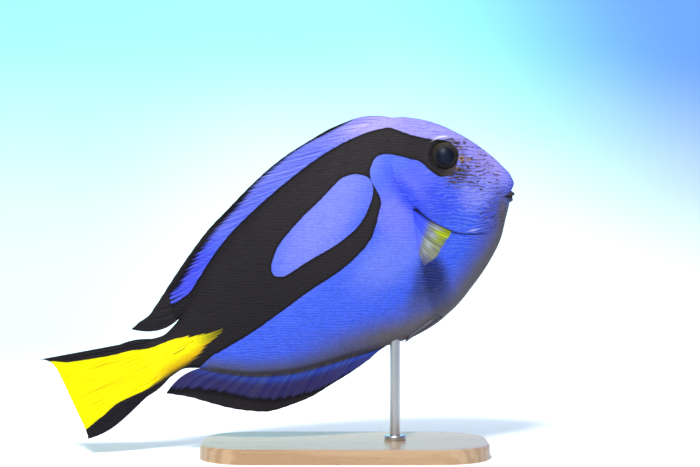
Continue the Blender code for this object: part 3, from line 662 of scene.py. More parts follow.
def skinGrid():
    # One side of the body from the back's ridge to the belly's, evenly spaced round the section.
    turn = np.linspace(0, math.pi, 481)
    rise = np.cos(turn)
    rows = []
    for s in skinStations():
        middle = float(alongBody("middle", s))
        top = float(alongBody("back", s)) - middle
        bottom = middle - float(alongBody("belly", s))
        z = middle + np.where(rise > 0, top, bottom) * rise
        y = halfWidth(np.full(turn.shape, s), z)
        y[0] = y[-1] = 0
        run = np.concatenate([[0], np.cumsum(np.hypot(np.diff(y), np.diff(z)))])
        even = np.linspace(0, run[-1], skinForm["girth"] + 1)
        rows.append(np.stack([np.full(even.shape, s), np.interp(even, run, y), np.interp(even, run, z)], -1))
    return np.array(rows)


def gridNormals(grid):
    # The grid is mirrored across the middle plane first, so that the ridges get true normals.
    mirror = np.array([1, -1, 1])
    wide = np.concatenate([grid[:, 1:2] * mirror, grid, grid[:, -2:-1] * mirror], axis=1)
    beside = (wide[:, 2:] - wide[:, :-2]) / 2
    normal = np.cross(np.gradient(grid, axis=0), beside)
    normal /= np.linalg.norm(normal, axis=-1)[..., None] + 1e-12
    normal *= np.sign((normal[..., 1] * grid[..., 1]).sum())
    normal[:, 0, 1] = normal[:, -1, 1] = 0
    return normal


def mouthSlit(points):
    # Share of the mouth's line at each place: 1 in the slit, 0 away from it.
    s, z = points[..., 0], points[..., 2]
    away = z - curveThrough(mouthForm["line"], s)
    return bell(away, mouthForm["width"]) * (1 - smoothStep(s, mouthForm["fadeIn"], mouthForm["end"]))


def mouthLift(base, out):
    # How far the skin goes out along its normals to lie over the lips.
    reach = np.full(len(base), mouthForm["farthest"])
    for _ in range(mouthForm["steps"]):
        place = base + out * reach[:, None]
        lips = smoothLeast(lipDistance(place, mouthForm["upper"]), lipDistance(place, mouthForm["lower"]),
                           mouthForm["lipBlend"])
        reach -= smoothLeast(reach + skinForm["inside"], lips, mouthForm["skinBlend"]) * 0.8
    return reach


def eyeLift(s, z):
    # The orbit's bowl, its rims and the brow above it.
    away = np.hypot(s - eyeForm["s"], z - eyeForm["z"])
    bowl = eyeForm["orbit"] * np.sqrt(np.clip(1 - (away / eyeForm["rim"]) ** 2, 0, 1)) - eyeForm["clear"]
    lift = -np.log1p(np.exp(bowl * eyeForm["soften"])) / eyeForm["soften"]
    lift -= eyeForm["floor"] * (1 - smoothStep(away, eyeForm["floorFrom"], eyeForm["open"] - 0.2))
    for radius, width, height in eyeForm["ridges"]:
        lift += height * bell(away - radius, width)
    brow = bell(away - browForm["radius"], browForm["width"]) * smoothStep(z - eyeForm["z"], *browForm["up"])
    return lift + browForm["height"] * brow * (1 - smoothStep(s, *browForm["rear"]))


def sculpt(grid):
    # The bare body becomes the skin; also gives each point's distance behind the gill slit.
    normal = gridNormals(grid)
    s, z = grid[..., 0], grid[..., 2]
    lift = np.full(s.shape, -skinForm["inside"])
    near = (s < mouthForm["back"]) & (np.abs(z - mouthForm["middleZ"]) < mouthForm["high"])
    lift[near] = mouthLift(grid[near], normal[near])
    lift -= mouthForm["cut"] * mouthSlit(grid + normal * lift[..., None]) * (s < 9)
    lift += eyeLift(s, z)
    for midS, midZ, radius in nostrils["places"]:
        away = np.hypot(s - midS, z - midZ)
        lift += nostrils["rim"] * bell(away - radius * 1.5, radius * 0.6)
        lift -= nostrils["pit"] * bell(away, radius * 0.75)

    gap = distanceTo(np.array([(gillEdge(h), h) for h in np.linspace(*gill["ends"], 60)]), s, z)
    gap = np.where(s < gillEdge(z), -gap, gap)
    lip = bell(np.minimum(gap + 0.9, 0.4), 1.3) * (gap < 0.35)
    lift += span(z, *gill["open"]) * (gill["lift"] * lip - gill["depth"] * bell(gap - 0.3, gill["width"]))

    lift += finPad["lift"] * bell(slanted(s, z, finPad["middle"], finPad["reach"]), 1)
    sheath = bell(z - spineForm["z"], spineForm["sheathHigh"]) * span(s, *spineForm["sheath"])
    groove = bell(z - spineForm["z"], spineForm["groove"]) * (sheath > 0.02)
    lift += spineForm["sheathLift"] * sheath - spineForm["grooveDepth"] * groove
    lift += flesh["height"] * np.sin(s * flesh["waveS"] + z * flesh["waveZ"]) * span(s, *flesh["span"])
    lift[:, 0] = lift[:, 0:2].mean(1)
    moved = grid + normal * lift[..., None]
    moved[:, 0, 1] = moved[:, -1, 1] = 0
    return moved, gap


# Where the head's own marks lie; four numbers are a rise and a fall
headMarks = {
    "linesS": (1.5, 4.5, 17.5, 22.5), "denserS": (6, 13), "linesLowZ": (-4, 1), "cheek": (7, 14),
    "cheekSlope": 0.6, "sparserZ": (17, 22), "linesTopZ": (25, 32), "jawS": (0.8, 3, 13, 21),
    "jawZ": (-14, -10, -3.5, 1.5),
    "chin": (0.9, 3.2), "chinZ": (-5, -3.6), "chinSlope": 0.75, "chinEnd": 24, "lipEdge": (0.02, 0.5),
    "darkByEye": ((19.8, 14.8), (4.2, 3.8)), "darkRing": 7.4, "darkRingRear": (16, 19),
    "slitLowZ": (-13.4, -11.2), "slitTopZ": (6, 14), "browRing": 8.4, "browZ": (30, 32), "browRear": (20, 24),
    "gillGlint": ((23.4, -8.8), (2.0, 0.28), 12),
}


def headMasks(points, gap):
    # Masks that only the head needs.
    s, z = points[..., 0], points[..., 2]
    markedS, markedZ = markPlace(points)
    folded = np.stack([s, np.abs(points[..., 1]), z], -1)
    upper, lower = (1 - smoothStep(lipDistance(folded, mouthForm[name]), *headMarks["lipEdge"])
                    for name in ("upper", "lower"))
    chin = 1 - smoothStep(s + (z + 4.5) * headMarks["chinSlope"], *headMarks["chin"])
    chin = 0.9 * chin * (1 - smoothStep(z, *headMarks["chinZ"])) * (s < headMarks["chinEnd"])
    face = span(markedS, *headMarks["linesS"]) * (0.5 + 0.5 * smoothStep(markedS, *headMarks["denserS"]))
    face *= smoothStep(markedZ, *headMarks["linesLowZ"])
    face *= 1 - smoothStep(markedS - markedZ * headMarks["cheekSlope"], *headMarks["cheek"])
    face *= 1 - 0.55 * smoothStep(markedZ, *headMarks["sparserZ"])
    face *= 1 - smoothStep(markedZ, *headMarks["linesTopZ"])
    jaw = span(markedS, *headMarks["jawS"]) * span(markedZ, *headMarks["jawZ"])
    fromEye = np.hypot(s - eyeForm["s"], z - eyeForm["z"])
    # A darker patch below the eye, and a darker ring round the front of the orbit's rim.
    ring = bell(fromEye - headMarks["darkRing"], 1.0) * (1 - smoothStep(s, *headMarks["darkRingRear"]))
    darkByEye = np.maximum(1.6 * bell(slanted(s, z, *headMarks["darkByEye"]), 1), 0.9 * ring)
    # Painted highlights: a thin pale line along the brow ridge above the eye, and a short one above the gill
    # slit's lower end.
    brow = bell(fromEye - headMarks["browRing"], 0.3) * smoothStep(z, *headMarks["browZ"])
    brow = 0.9 * brow * (1 - smoothStep(s, *headMarks["browRear"]))
    spot = np.zeros(s.shape)
    for midS, midZ, radius in nostrils["places"]:
        spot = np.maximum(spot, bell(np.hypot((s - midS) * 0.8, z - midZ), radius * 1.7))
    # Painted shade along the lower part of the gill slit's opening.
    slit = smoothStep(z, *headMarks["slitLowZ"]) * (1 - smoothStep(z, *headMarks["slitTopZ"]))
    near = s < 12
    return {
        "lip": np.maximum(np.where(near, np.maximum(upper, 0.8 * lower), 0), chin),
        "mouth": np.where(near, mouthSlit(points), 0),
        "faceLines": np.maximum(face, jaw * 0.75),
        "darkByEye": np.minimum(darkByEye, 1),
        "nostril": spot * 0.95,
        "slit": slit * bell(gap - 0.25, 0.55) * 0.95,
        "glint": np.maximum(brow, 0.6 * bell(slanted(markedS, markedZ, *headMarks["gillGlint"]), 1)),
    }


def addHeadMasks(obj, points, gap):
    for name, values in headMasks(points, gap).items():
        addFloat(obj, name, values)


def makeSkin(grid, gap, material):
    right = grid * np.array([1, -1, 1])
    ring = np.concatenate([right, grid[:, -2:0:-1]], axis=1)
    ringGap = np.concatenate([gap, gap[:, -2:0:-1]], axis=1).ravel()
    ends = [ring[0].mean(0) - np.array([skinForm["nose"], 0, 0]), ring[-1].mean(0)]
    points = np.vstack([ring.reshape(-1, 3), ends])
    skin = addPiece("skin", toWorld(points), closedRings(*ring.shape[:2], False), material)
    addMarks(skin, points)
    addHeadMasks(skin, points, np.append(ringGap, [9, 9]))
    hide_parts("head", "torso", "tail_stalk")


# Scales: small thin plates over the skin, each rooted under the one in front

coat = {
    "pitch": [(4, 0.60), (26, 0.68), (46, 0.92), (100, 0.98), (150, 0.82), (168, 0.55)], "rowShare": 0.86,
    "from": 5.0, "to": 168.0, "length": 1.55, "width": 1.12, "front": -0.05, "rear": 0.075, "crown": 0.085,
    "keel": -0.09, "rim": 8, "patch": 0.0015, "turn": 0.12, "grown": (0.92, 1.06), "jitter": (0.1, 0.12),
    "sections": {"scales_face": (0, 44), "scales_fore": (44, 84), "scales_rear": (84, 180)},
}


def gridPlace(grid, i, g):
    # A point of the sculpted side at a station number and a share of the girth.
    g = g * (grid.shape[1] - 1)
    i0 = np.clip(np.floor(i).astype(int), 0, grid.shape[0] - 2)
    g0 = np.clip(np.floor(g).astype(int), 0, grid.shape[1] - 2)
    a, b = (i - i0)[..., None], (g - g0)[..., None]
    low = between((grid[i0, g0], grid[i0 + 1, g0]), a)
    high = between((grid[i0, g0 + 1], grid[i0 + 1, g0 + 1]), a)
    return between((low, high), b)


def scaleRoots(grid):
    stations = skinStations()
    placesI, placesG, sizes = [], [], []
    s, column = coat["from"], 0
    aside, back = coat["jitter"]
    while s < coat["to"]:
        pitch = float(curveThrough(coat["pitch"], s))
        station = float(np.interp(s, stations, np.arange(len(stations))))
        row = grid[int(round(station))]
        girth = np.linalg.norm(np.diff(row, axis=0), axis=1).sum()
        count = max(int(round(girth / (pitch * coat["rowShare"]))), 4)
        g = (np.arange(count) + 0.25 + 0.5 * (column % 2) + seed.uniform(-aside, aside, count)) / count
        placesG.append(g)
        placesI.append(np.full(count, station) + seed.uniform(-back, back, count))
        sizes.append(np.full(count, pitch))
        s += pitch
        column += 1
    return np.concatenate(placesI), np.concatenate(placesG), np.concatenate(sizes)


# Margins round what the scales leave bare, and the ranges of s and z that stay free
bareForm = {
    "eye": 0.6, "nostril": 0.9, "lipEnd": 9, "lipTop": 0.5, "lipLow": -9, "lipRise": 0.2, "gill": (-0.5, 1.1),
    "gillZ": (-15, 27), "finS": (41.4, 46.2), "finZ": (-2.2, 11.0), "grooveHigh": 1.5,
    "grooveS": (150, 161.5), "ridge": 0.45,
}


def within(x, pair):
    return (x > pair[0]) & (x < pair[1])


def bareSkin(p):
    # Where no scale grows: eye, nostrils, lips, gill slit, fin roots and the tail spine's groove.
    s, z = p[:, 0], p[:, 2]
    bare = np.hypot(s - eyeForm["s"], z - eyeForm["z"]) < eyeForm["rim"] + bareForm["eye"]
    for midS, midZ, radius in nostrils["places"]:
        bare |= np.hypot(s - midS, z - midZ) < radius + bareForm["nostril"]
    lipLow = bareForm["lipLow"] + s * bareForm["lipRise"]
    bare |= (s < bareForm["lipEnd"]) & within(z, (lipLow, bareForm["lipTop"]))
    bare |= within(s - gillEdge(z), bareForm["gill"]) & within(z, bareForm["gillZ"])
    bare |= within(s, bareForm["finS"]) & within(z, bareForm["finZ"])
    bare |= (np.abs(z - spineForm["z"]) < bareForm["grooveHigh"]) & within(s, bareForm["grooveS"])
    return bare | (p[:, 1] < bareForm["ridge"])


def scaleShape():
    # One scale: a rim that rises to the rear, with a crown above its middle and a keel below.
    rim = coat["rim"]
    angles = np.arange(rim) / rim * 2 * math.pi
    a = np.append(np.cos(angles) * 0.5, [0.12, -0.1]) * coat["length"]
    b = np.append(np.sin(angles) * 0.5 * (1 + 0.15 * np.cos(angles)), [0, 0]) * coat["width"]
    middle = (coat["front"] + coat["rear"]) / 2
    h = np.append(middle + (coat["rear"] - middle) * np.cos(angles), [coat["crown"], coat["keel"]])
    rimShare = np.append(np.clip(np.cos(angles), 0, 1), [0, 0])
    corner = [(k, (k + 1) % rim, rim) for k in range(rim)] + [((k + 1) % rim, k, rim + 1) for k in range(rim)]
    return a, b, h, rimShare, np.array(corner)


def addScaleMap(obj, u, v, a, b):
    # Each scale is a small patch at its root's place on the unrolled skin.
    uv = np.stack([u[:, None] + a / coat["length"] * 2 * coat["patch"],
                   v[:, None] + b / coat["width"] * 2 * coat["patch"]], -1).reshape(-1, 2)
    layer = obj.data.uv_layers.new(name="OFBake")
    loops = np.empty(len(obj.data.loops), np.int32)
    obj.data.loops.foreach_get("vertex_index", loops)
    layer.data.foreach_set("uv", np.clip(uv[loops], 0, 1).astype(np.float32).ravel())


def makeScales(grid, material):
    i, g, size = scaleRoots(grid)
    root = gridPlace(grid, i, g)
    keep = ~bareSkin(root)
    i, g, size, root = i[keep], g[keep], size[keep], root[keep]
    back = gridPlace(grid, i + 0.8, g) - gridPlace(grid, i - 0.8, g)
    down = gridPlace(grid, i, np.minimum(g + 0.004, 1)) - gridPlace(grid, i, np.maximum(g - 0.004, 0))
    back /= np.linalg.norm(back, axis=1)[:, None]
    out = np.cross(back, down)
    out *= np.sign(out[:, 1:2])
    out /= np.linalg.norm(out, axis=1)[:, None]
    down = np.cross(out, back)
    turn = seed.uniform(-coat["turn"], coat["turn"], len(root))[:, None]
    along, across = back * np.cos(turn) + down * np.sin(turn), down * np.cos(turn) - back * np.sin(turn)
    grown = (size * seed.uniform(*coat["grown"], len(root)))[:, None, None]
    tint = seed.uniform(0, 1, len(root))

    a, b, h, rimShare, corner = scaleShape()
    points = root[:, None] + along[:, None] * (a[:, None] * grown) + across[:, None] * (b[:, None] * grown)
    points += out[:, None] * h[:, None]
    for sideName, side in (("right", -1), ("left", 1)):
        for sectionName, (start, end) in coat["sections"].items():
            pick = (root[:, 0] >= start) & (root[:, 0] < end)
            flat = (points[pick] * np.array([1, side, 1])).reshape(-1, 3)
            first = np.arange(pick.sum()) * len(a)
            faces = ((corner if side > 0 else corner[:, ::-1])[None] + first[:, None, None]).reshape(-1, 3)
            obj = addPiece(f"{sectionName}_{sideName}", toWorld(flat), faces.tolist(), material)
            obj.data.set_sharp_from_angle(angle=math.radians(50))
            addMarks(obj, flat)
            addFloat(obj, "scaleTint", np.repeat(tint[pick], len(a)))
            addFloat(obj, "scaleRim", np.tile(rimShare, len(first)))
            addHeadMasks(obj, flat, flat[:, 0] - gillEdge(flat[:, 2]))
            u = (root[pick, 0] - body["front"]) / (skinForm["end"] - body["front"])
            addScaleMap(obj, u, 0.5 + side * (0.5 - g[pick] * 0.48), a, b)
    print("scales", 2 * len(root), "triangles", 2 * len(root) * len(corner))


# Fins: one thin closed sheet each, with rays that rise from its own surface and branch towards the margin

finForm = {"membrane": 0.2, "root": 1.0, "crest": 0.52, "tipCrest": 0.3, "fade": 10.0, "margin": 0.12,
           "marginFrom": 0.94, "notch": 0.022}
dorsal = {
    "rays": 28, "spines": 9, "perRay": 12, "rows": 54, "base": (33.5, 151.0), "root": "back", "wide": 0.105,
    "wave": 0.5, "sink": (0, 0, 1.6),
    "margin": [(49.8, 55.4), (58.9, 55.9), (68.5, 55.2), (78.3, 54.2), (88.6, 52.2), (99.8, 48.8),
               (111.3, 44.6), (122.7, 40.5), (135.2, 34.1), (147.9, 26.8), (158.2, 20.6), (162, 18.6),
               (166.2, 18), (170.7, 16.8)],
    "reach": [(0, 16.3), (5, 18.5), (20, 20), (27, 19.7)],
    "bend": [(0, 1.3), (4, 0.2), (20, -0.5), (25, -1.6), (27, -3.0)],
    "black": [(33, 60), (49.9, 54.7), (73.7, 53.9), (94.5, 49.6), (106.4, 44.4), (118, 39.8), (130.3, 33.7),
              (143.9, 24.9), (150.5, 21.1), (152.5, 5)],
}
anal = {
    "rays": 21, "spines": 3, "perRay": 12, "rows": 46, "base": (77.8, 152.0), "root": "belly", "wide": 0.12,
    "wave": 0.4, "sink": (0, 0, -1.6),
    "margin": [(86, -38.4), (95.8, -40), (105.7, -41), (115.7, -41.9), (124.7, -41.3), (133.4, -39.8),
               (140.8, -36), (147.9, -31.3), (154.5, -25.7), (161, -19.8), (169.3, -13.9)],
    "reach": [(0, 8.2), (3, 12), (10, 15.5), (20, 17.3)],
    "bend": [(0, 0.3), (12, 0.2), (17, 0.8), (20, 1.9)],
    "black": [(80, 0.5), (100, 1.2), (110, 2.6), (120, 4.8), (132, 6.3), (145, 6.9), (157, 5.0), (169, 1.9)],
    "violet": (42, 38, 88), "blue": (44, 68, 160), "grey": (52, 50, 62),
}
caudal = {
    "rays": 16, "spines": 1, "perRay": 14, "rows": 84, "rootS": 165.3, "rootZ": (9.6, -8.7),
    "tipZ": (22.2, -16.7), "trail": 206.2, "lobe": (4.7, 0.9), "power": 8, "flare": 0.8, "flareRun": 3.6,
    "bow": 2.5, "bowPower": 1.9, "wave": 0.7, "wide": 0.2, "scallop": 0.15, "sink": (2.5, 0, 0), "pinch": 0.2,
}
pectoral = {
    "rays": 16, "spines": 16, "perRay": 9, "rows": 46, "rootS": (41.9, 45.7), "rootZ": (10.0, -1.1),
    "clear": 0.2, "tipS": [(0, 33.9), (0.35, 39.2), (0.65, 44.7), (1, 49.2)],
    "tipZ": [(0, -4.1), (0.35, -7.6), (0.65, -11.2), (1, -12.0)],
    "out": [(0, 32.2), (0.35, 28), (0.65, 22), (1, 15.8)], "cup": 2.0, "spread": (0.15, 0.85), "ripple": 0.25,
    "wide": 0.17, "rootScale": 1.1, "sink": 1.6,
    # The grey and the darkest blue-grey tint are painted shade on the fin's lower rays.
    "olive": (126, 133, 108), "gold": (158, 172, 8), "grey": (118, 122, 122), "pale": (178, 182, 206),
    "lowRayShade": (84, 84, 128), "blue": (60, 82, 232), "lowBlue": (98, 114, 246),
}
pelvic = {
    "rays": 5, "spines": 1, "perRay": 12, "rows": 40, "rootS": (51.0, 53.4), "rootZ": (-35.7, -33.7),
    "tipS": (70.0, 67.2), "tipZ": (-38.6, -36.6), "clear": 0.7, "tuck": 0.5, "wide": 0.16, "rootScale": 0.7,
    "sink": 1.2, "grey": (100, 98, 108),
}


def rayRise(u, v, form):
    # 1 on a ray, 0 between; soft rays branch in two and then in four.
    nearest = np.round(u)
    off = np.abs(u - nearest)
    soft = nearest >= form["spines"]
    first = 0.21 * smoothStep(v, 0.28, 0.85) * soft
    second = 0.1 * smoothStep(v, 0.58, 1.0) * soft
    wide = form["wide"] * (1 - 0.45 * smoothStep(v, 0.2, 0.9))
    rise = np.maximum(bell(off - first - second, wide), bell(off - first + second, wide))
    return rise * (1 - 0.35 * smoothStep(v, 0.55, 1) * soft)


def finSheet(name, form, place, sink, material, normalOf=None):
    # place(u, v) gives the sheet's middle: u counts the rays, v runs from the root, 0, to the margin, 1.
    rays = form["rays"]
    run = np.concatenate([[-1, -0.5], np.linspace(0, 1, form["rows"]) ** 0.92])
    u, run = np.meshgrid(np.linspace(0, rays - 1, (rays - 1) * form["perRay"] + 1), run, indexing="ij")
    v, sunk = np.clip(run, 0, 1), np.clip(-run, 0, 1)[..., None]
    notch = finForm["notch"] * np.sin(np.pi * u) ** 2 * smoothStep(v, 0.4, 1)
    centre = place(u, v * (1 - notch * form.get("scallop", 0.35)))
    rise = rayRise(u, v, form)
    thick = np.exp(-v * finForm["fade"])
    half = between((finForm["membrane"], finForm["root"] * form.get("rootScale", 1)), thick)
    crest = between((finForm["crest"], finForm["tipCrest"]), v)
    half += np.maximum(crest - finForm["membrane"], 0) * rise * (1 - thick)
    half *= 1 - (1 - finForm["margin"] / finForm["membrane"]) * smoothStep(v, finForm["marginFrom"], 1)
    offset = (normalOf(centre) if normalOf else np.array([0.0, 1.0, 0.0])) * half[..., None]
    pinch = np.array([0, 0, form.get("pinch", 0)])
    points = np.stack([centre - offset, centre + offset])
    points = points * (1 - pinch * sunk) - np.array(sink) * sunk
    index = np.arange(u.size).reshape(u.shape)
    low, high = index[:-1, :-1], index[1:, 1:]
    faces = facesOf(low, index[1:, :-1], high, index[:-1, 1:])
    faces += facesOf(index[:-1, 1:] + u.size, high + u.size, index[1:, :-1] + u.size, low + u.size)
    for rim in (index[::-1, 0], index[:, -1], index[0], index[-1, ::-1]):
        faces += facesOf(rim[:-1], rim[1:], rim[1:] + u.size, rim[:-1] + u.size)
    points = points.reshape(-1, 3)
    obj = addPiece(name, toWorld(points), faces, material)
    addMarks(obj, points)
    addFloat(obj, "ray", np.tile(rise.ravel(), 2))
    return obj, u, v, centre


def setFinPaint(obj, edge, flow, tint=(0, 0, 0), share=0, loose=0.8):
    # edge is the distance to the black margin; the tint covers a share of the fish's own colours.
    for name, values in (("edge", edge), ("loose", loose), ("flow", flow), ("tinted", share)):
        addFloat(obj, name, np.tile(np.broadcast_to(values, edge.shape).ravel(), 2))
    tint = np.broadcast_to(tint, edge.shape + (3,)).reshape(-1, 3)
    addColour(obj, "finTint", np.tile(tint, (2, 1)))


def finHeight(centre):
    return np.linalg.norm(centre[:, -1] - centre[:, 2], axis=-1)[:, None]


def paintDorsal(obj, u, v, centre):
    s, z = centre[..., 0], centre[..., 2]
    fore = 1 - smoothStep(s, 66, 92)
    edge = np.minimum(curveThrough(dorsal["black"], s) - z, (1 - v) * finHeight(centre) - 0.35)
    edge = np.minimum(edge - 0.4 + 0.7 * fore, (151 - s) * 0.2) * (0.36 + 0.5 * fore)
    setFinPaint(obj, edge, u * 3.2, loose=1.8 - fore + 2.0 * smoothStep(s, 90, 150))


def paintAnal(obj, u, v, centre):
    s, height = centre[..., 0], finHeight(centre)
    away, below = (1 - v) * height, v * height
    blue = bell(below - 2.0, 2.6) * (1 - 0.5 * smoothStep(s, 120, 150))
    blue = np.maximum(blue, (1 - smoothStep(s, 84, 112)) * 0.35)
    tint = washed(toLinear(anal["violet"]), anal["blue"], blue)
    tint = washed(tint, anal["grey"], 1 - smoothStep(below, 0.3, 1.1))
    setFinPaint(obj, (away - curveThrough(anal["black"], s)) * 0.4, u * 2.0, tint, 0.97, 2.0)


def makeMedianFin(name, form, paintFin, material):
    def place(u, v):
        share = u / (form["rays"] - 1)
        rootS = between(form["base"], share)
        rootZ = alongBody(form["root"], rootS)
        tipS = rootS + curveThrough(form["reach"], u)
        tipZ = curveThrough(form["margin"], tipS)
        bend = curveThrough(form["bend"], u) * 4 * v * (1 - v)
        y = form["wave"] * v ** 1.5 * np.sin(u * 0.9) * smoothStep(share, 0.1, 0.4)
        return np.stack([between((rootS, tipS), v), y, between((rootZ, tipZ), v) + bend], -1)

    obj, u, v, centre = finSheet(name + "_skin", form, place, form["sink"], material)
    paintFin(obj, u, v, centre)
    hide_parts(name)


def makeCaudal(material):
    form = caudal

    def place(u, v):
        share = u / (form["rays"] - 1)
        swing = 2 * share - 1
        lobe = np.where(swing < 0, *form["lobe"]) * np.abs(swing) ** form["power"]
        flare = form["flare"] * swing * np.sin(np.pi * np.minimum(v * form["flareRun"], 1))
        bow = form["bow"] * np.maximum(swing, 0) ** 2 * np.sin(np.pi * v ** form["bowPower"])
        y = form["wave"] * v ** 1.6 * np.sin(share * 5.2 + 0.6)
        z = between((between(form["rootZ"], share), between(form["tipZ"], share)), v) - flare - bow
        return np.stack([between((form["rootS"], form["trail"] + lobe), v), y, z], -1)

    obj, u = finSheet("caudal_fin_skin", form, place, form["sink"], material)[:2]
    setFinPaint(obj, np.full(u.shape, 9.0), u * 0.9)
    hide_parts("caudal_fin")


def sheetNormals(centre):
    # The sunk rows lie on the root's own row, so they take the first free row's normal.
    normal = np.cross(np.gradient(centre, axis=0), np.gradient(centre, axis=1))
    normal /= np.linalg.norm(normal, axis=-1)[..., None] + 1e-9
    normal[:, :3] = normal[:, 3:4]
    return normal


def makePectoral(sideName, side, material):
    form = pectoral

    def place(u, v):
        share = u / (form["rays"] - 1)
        rootS, rootZ = between(form["rootS"], share), between(form["rootZ"], share)
        rootY = halfWidth(rootS, rootZ) + form["clear"]
        tipS, tipZ, out = (curveThrough(form[key], share) for key in ("tipS", "tipZ", "out"))
        cup = form["cup"] * np.sin(np.pi * v) * np.sin(np.pi * between(form["spread"], share))
        ripple = form["ripple"] * np.sin(u * 2.1) * v ** 1.5
        return np.stack([between((rootS, tipS), v) + cup + ripple, side * (rootY + out * v),
                         between((rootZ, tipZ), v)], -1)

    sink = (0, side * form["sink"], 0)
    made = finSheet(f"pectoral_{sideName}", form, place, sink, material, sheetNormals)
    obj, u, v = made[:3]
    share = u / (form["rays"] - 1)
    bright = smoothStep(v, 0.62, 0.78) * (1 - smoothStep(v, 0.9, 1) * smoothStep(share, 0.1, 0.3))
    tint = washed(toLinear(form["olive"]), form["gold"], bright * (1 - smoothStep(share, 0.24, 0.5)))
    # Painted shade: the lower rays are greyed, and darkened further towards their ends.
    tint = washed(tint, form["grey"], smoothStep(share, 0.34, 0.8) * smoothStep(v, 0.3, 0.6) * 0.9)
    tint = washed(tint, form["pale"], bell(v - 0.7, 0.12) * (0.5 + 0.5 * np.sin(u * 1.9)) * 0.7)
    tint = washed(tint, form["lowRayShade"], smoothStep(share, 0.6, 1) * smoothStep(v, 0.55, 0.95) * 0.8)
    blue = washed(toLinear(form["blue"]), form["lowBlue"], share)
    tint += (1 - smoothStep(v, 0.36, 0.62))[..., None] * (blue - tint)
    setFinPaint(obj, share * 12 - 0.35, u * 1.1, tint, 1)
    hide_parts(f"pectoral_fin_{sideName}")


def makePelvic(sideName, side, material):
    form = pelvic

    def place(u, v):
        share = u / (form["rays"] - 1)
        s = between((between(form["rootS"], share), between(form["tipS"], share)), v)
        z = between((between(form["rootZ"], share), between(form["tipZ"], share)), v)
        # The root and the upper edge are tucked under the belly's scales
        tucked = np.maximum(1 - smoothStep(v, 0, 0.3), smoothStep(share, 0.5, 1))
        y = halfWidth(s, z) + between((form["clear"], -form["tuck"]), tucked)
        return np.stack([s, side * y, z], -1)

    sink = (0, side * form["sink"], 0)
    obj, u, v = finSheet(f"pelvic_{sideName}", form, place, sink, material)[:3]
    share = u / (form["rays"] - 1)
    setFinPaint(obj, np.minimum(share * 3.2, (1 - v) * 9) - 0.3, u * 1.2, toLinear(form["grey"]), 1)
    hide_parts(f"pelvic_fin_{sideName}")


# Eyes

eyeLook = {
    "pupil": 3.8, "rings": 72, "segments": 112, "cornea": 0.25, "corneaWide": 3.6, "outside": 6.2,
    "irisDark": (0.012, 0.010, 0.011), "irisLight": (0.036, 0.032, 0.032), "rimGold": (0.07, 0.055, 0.012),
    "pupilDark": (0.003, 0.005, 0.012), "pupilLight": (0.008, 0.014, 0.034),
}


def eyeMaterial():
    material, shader, wire = startMaterial("fish_eye", {"Specular IOR Level": 0.1, "Coat Weight": 0.1,
                                                        "Coat Roughness": 0.42, "Coat IOR": 1.3})
    away, place = wire.attribute("eyeAway"), wire.objectPlace()
    fleck, cloud = place.noise(900, 3, 0.6), place.noise(260)
    iris = fleck.rise(0.35, 0.7).fade(eyeLook["irisDark"], eyeLook["irisLight"])
    iris = iris.mixed(eyeLook["rimGold"], (away + cloud * 0.6).rise(5.1, 5.8) * 0.4)
    pupil = cloud.rise(0.3, 0.8).fade(eyeLook["pupilDark"], eyeLook["pupilLight"])
    ring = away.rise(eyeLook["pupil"] - 0.12, eyeLook["pupil"] + 0.12)
    finishMaterial(wire, shader, {"Base Color": pupil.mixed(iris, ring), "Roughness": 0.42 + ring * 0.12,
                                  "Normal": fleck.bump(0.00005, 0.3)})
    return material


def makeEye(sideName, side, material):
    # A flattened ball with a cornea that bulges a little.
    rings, segments = eyeLook["rings"], eyeLook["segments"]
    tilt = np.linspace(0, math.pi, rings + 2)[1:-1, None]
    around = (np.arange(segments) / segments * 2 * math.pi)[None]
    away = eyeForm["radius"] * np.sin(tilt)
    y = eyeForm["y"] + eyeForm["depth"] * np.cos(tilt)
    y += eyeLook["cornea"] * bell(away, eyeLook["corneaWide"]) * (tilt < math.pi / 2)
    points = np.stack([eyeForm["s"] + away * np.cos(around), side * y + 0 * around,
                       eyeForm["z"] + away * np.sin(around)], -1)
    poles = [(eyeForm["s"], side * (eyeForm["y"] + reach), eyeForm["z"])
             for reach in (eyeForm["depth"] + eyeLook["cornea"], -eyeForm["depth"])]
    points = np.vstack([points.reshape(-1, 3), poles])
    faces = closedRings(rings, segments, side > 0)
    obj = addPiece(f"eyeball_{sideName}", toWorld(points), faces, material)
    fromAxis = np.hypot(points[:, 0] - eyeForm["s"], points[:, 2] - eyeForm["z"])
    addFloat(obj, "eyeAway", np.where(points[:, 1] * side > eyeForm["y"], fromAxis, eyeLook["outside"]))
    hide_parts(f"eye_{sideName}")


# The folding spine on each side of the tail stalk

hornLook = {"dark": (0.86, 0.70, 0.0), "light": (1.0, 0.86, 0.02), "grain": (300, 900, 900)}


def spineMaterial():
    material, shader, wire = startMaterial("tail_spine_horn", {"Specular IOR Level": 0.2, "Coat Weight": 0.05,
                                                               "Coat Roughness": 0.3})
    streak = wire.objectPlace().stretched(hornLook["grain"]).noise(1.0, 3, 0.6)
    colour = streak.rise(0.3, 0.7).fade(hornLook["dark"], hornLook["light"])
    finishMaterial(wire, shader, {"Base Color": colour, "Roughness": 0.3 + streak * 0.2,
                                  "Normal": streak.bump(0.00005, 0.4)})
    return material


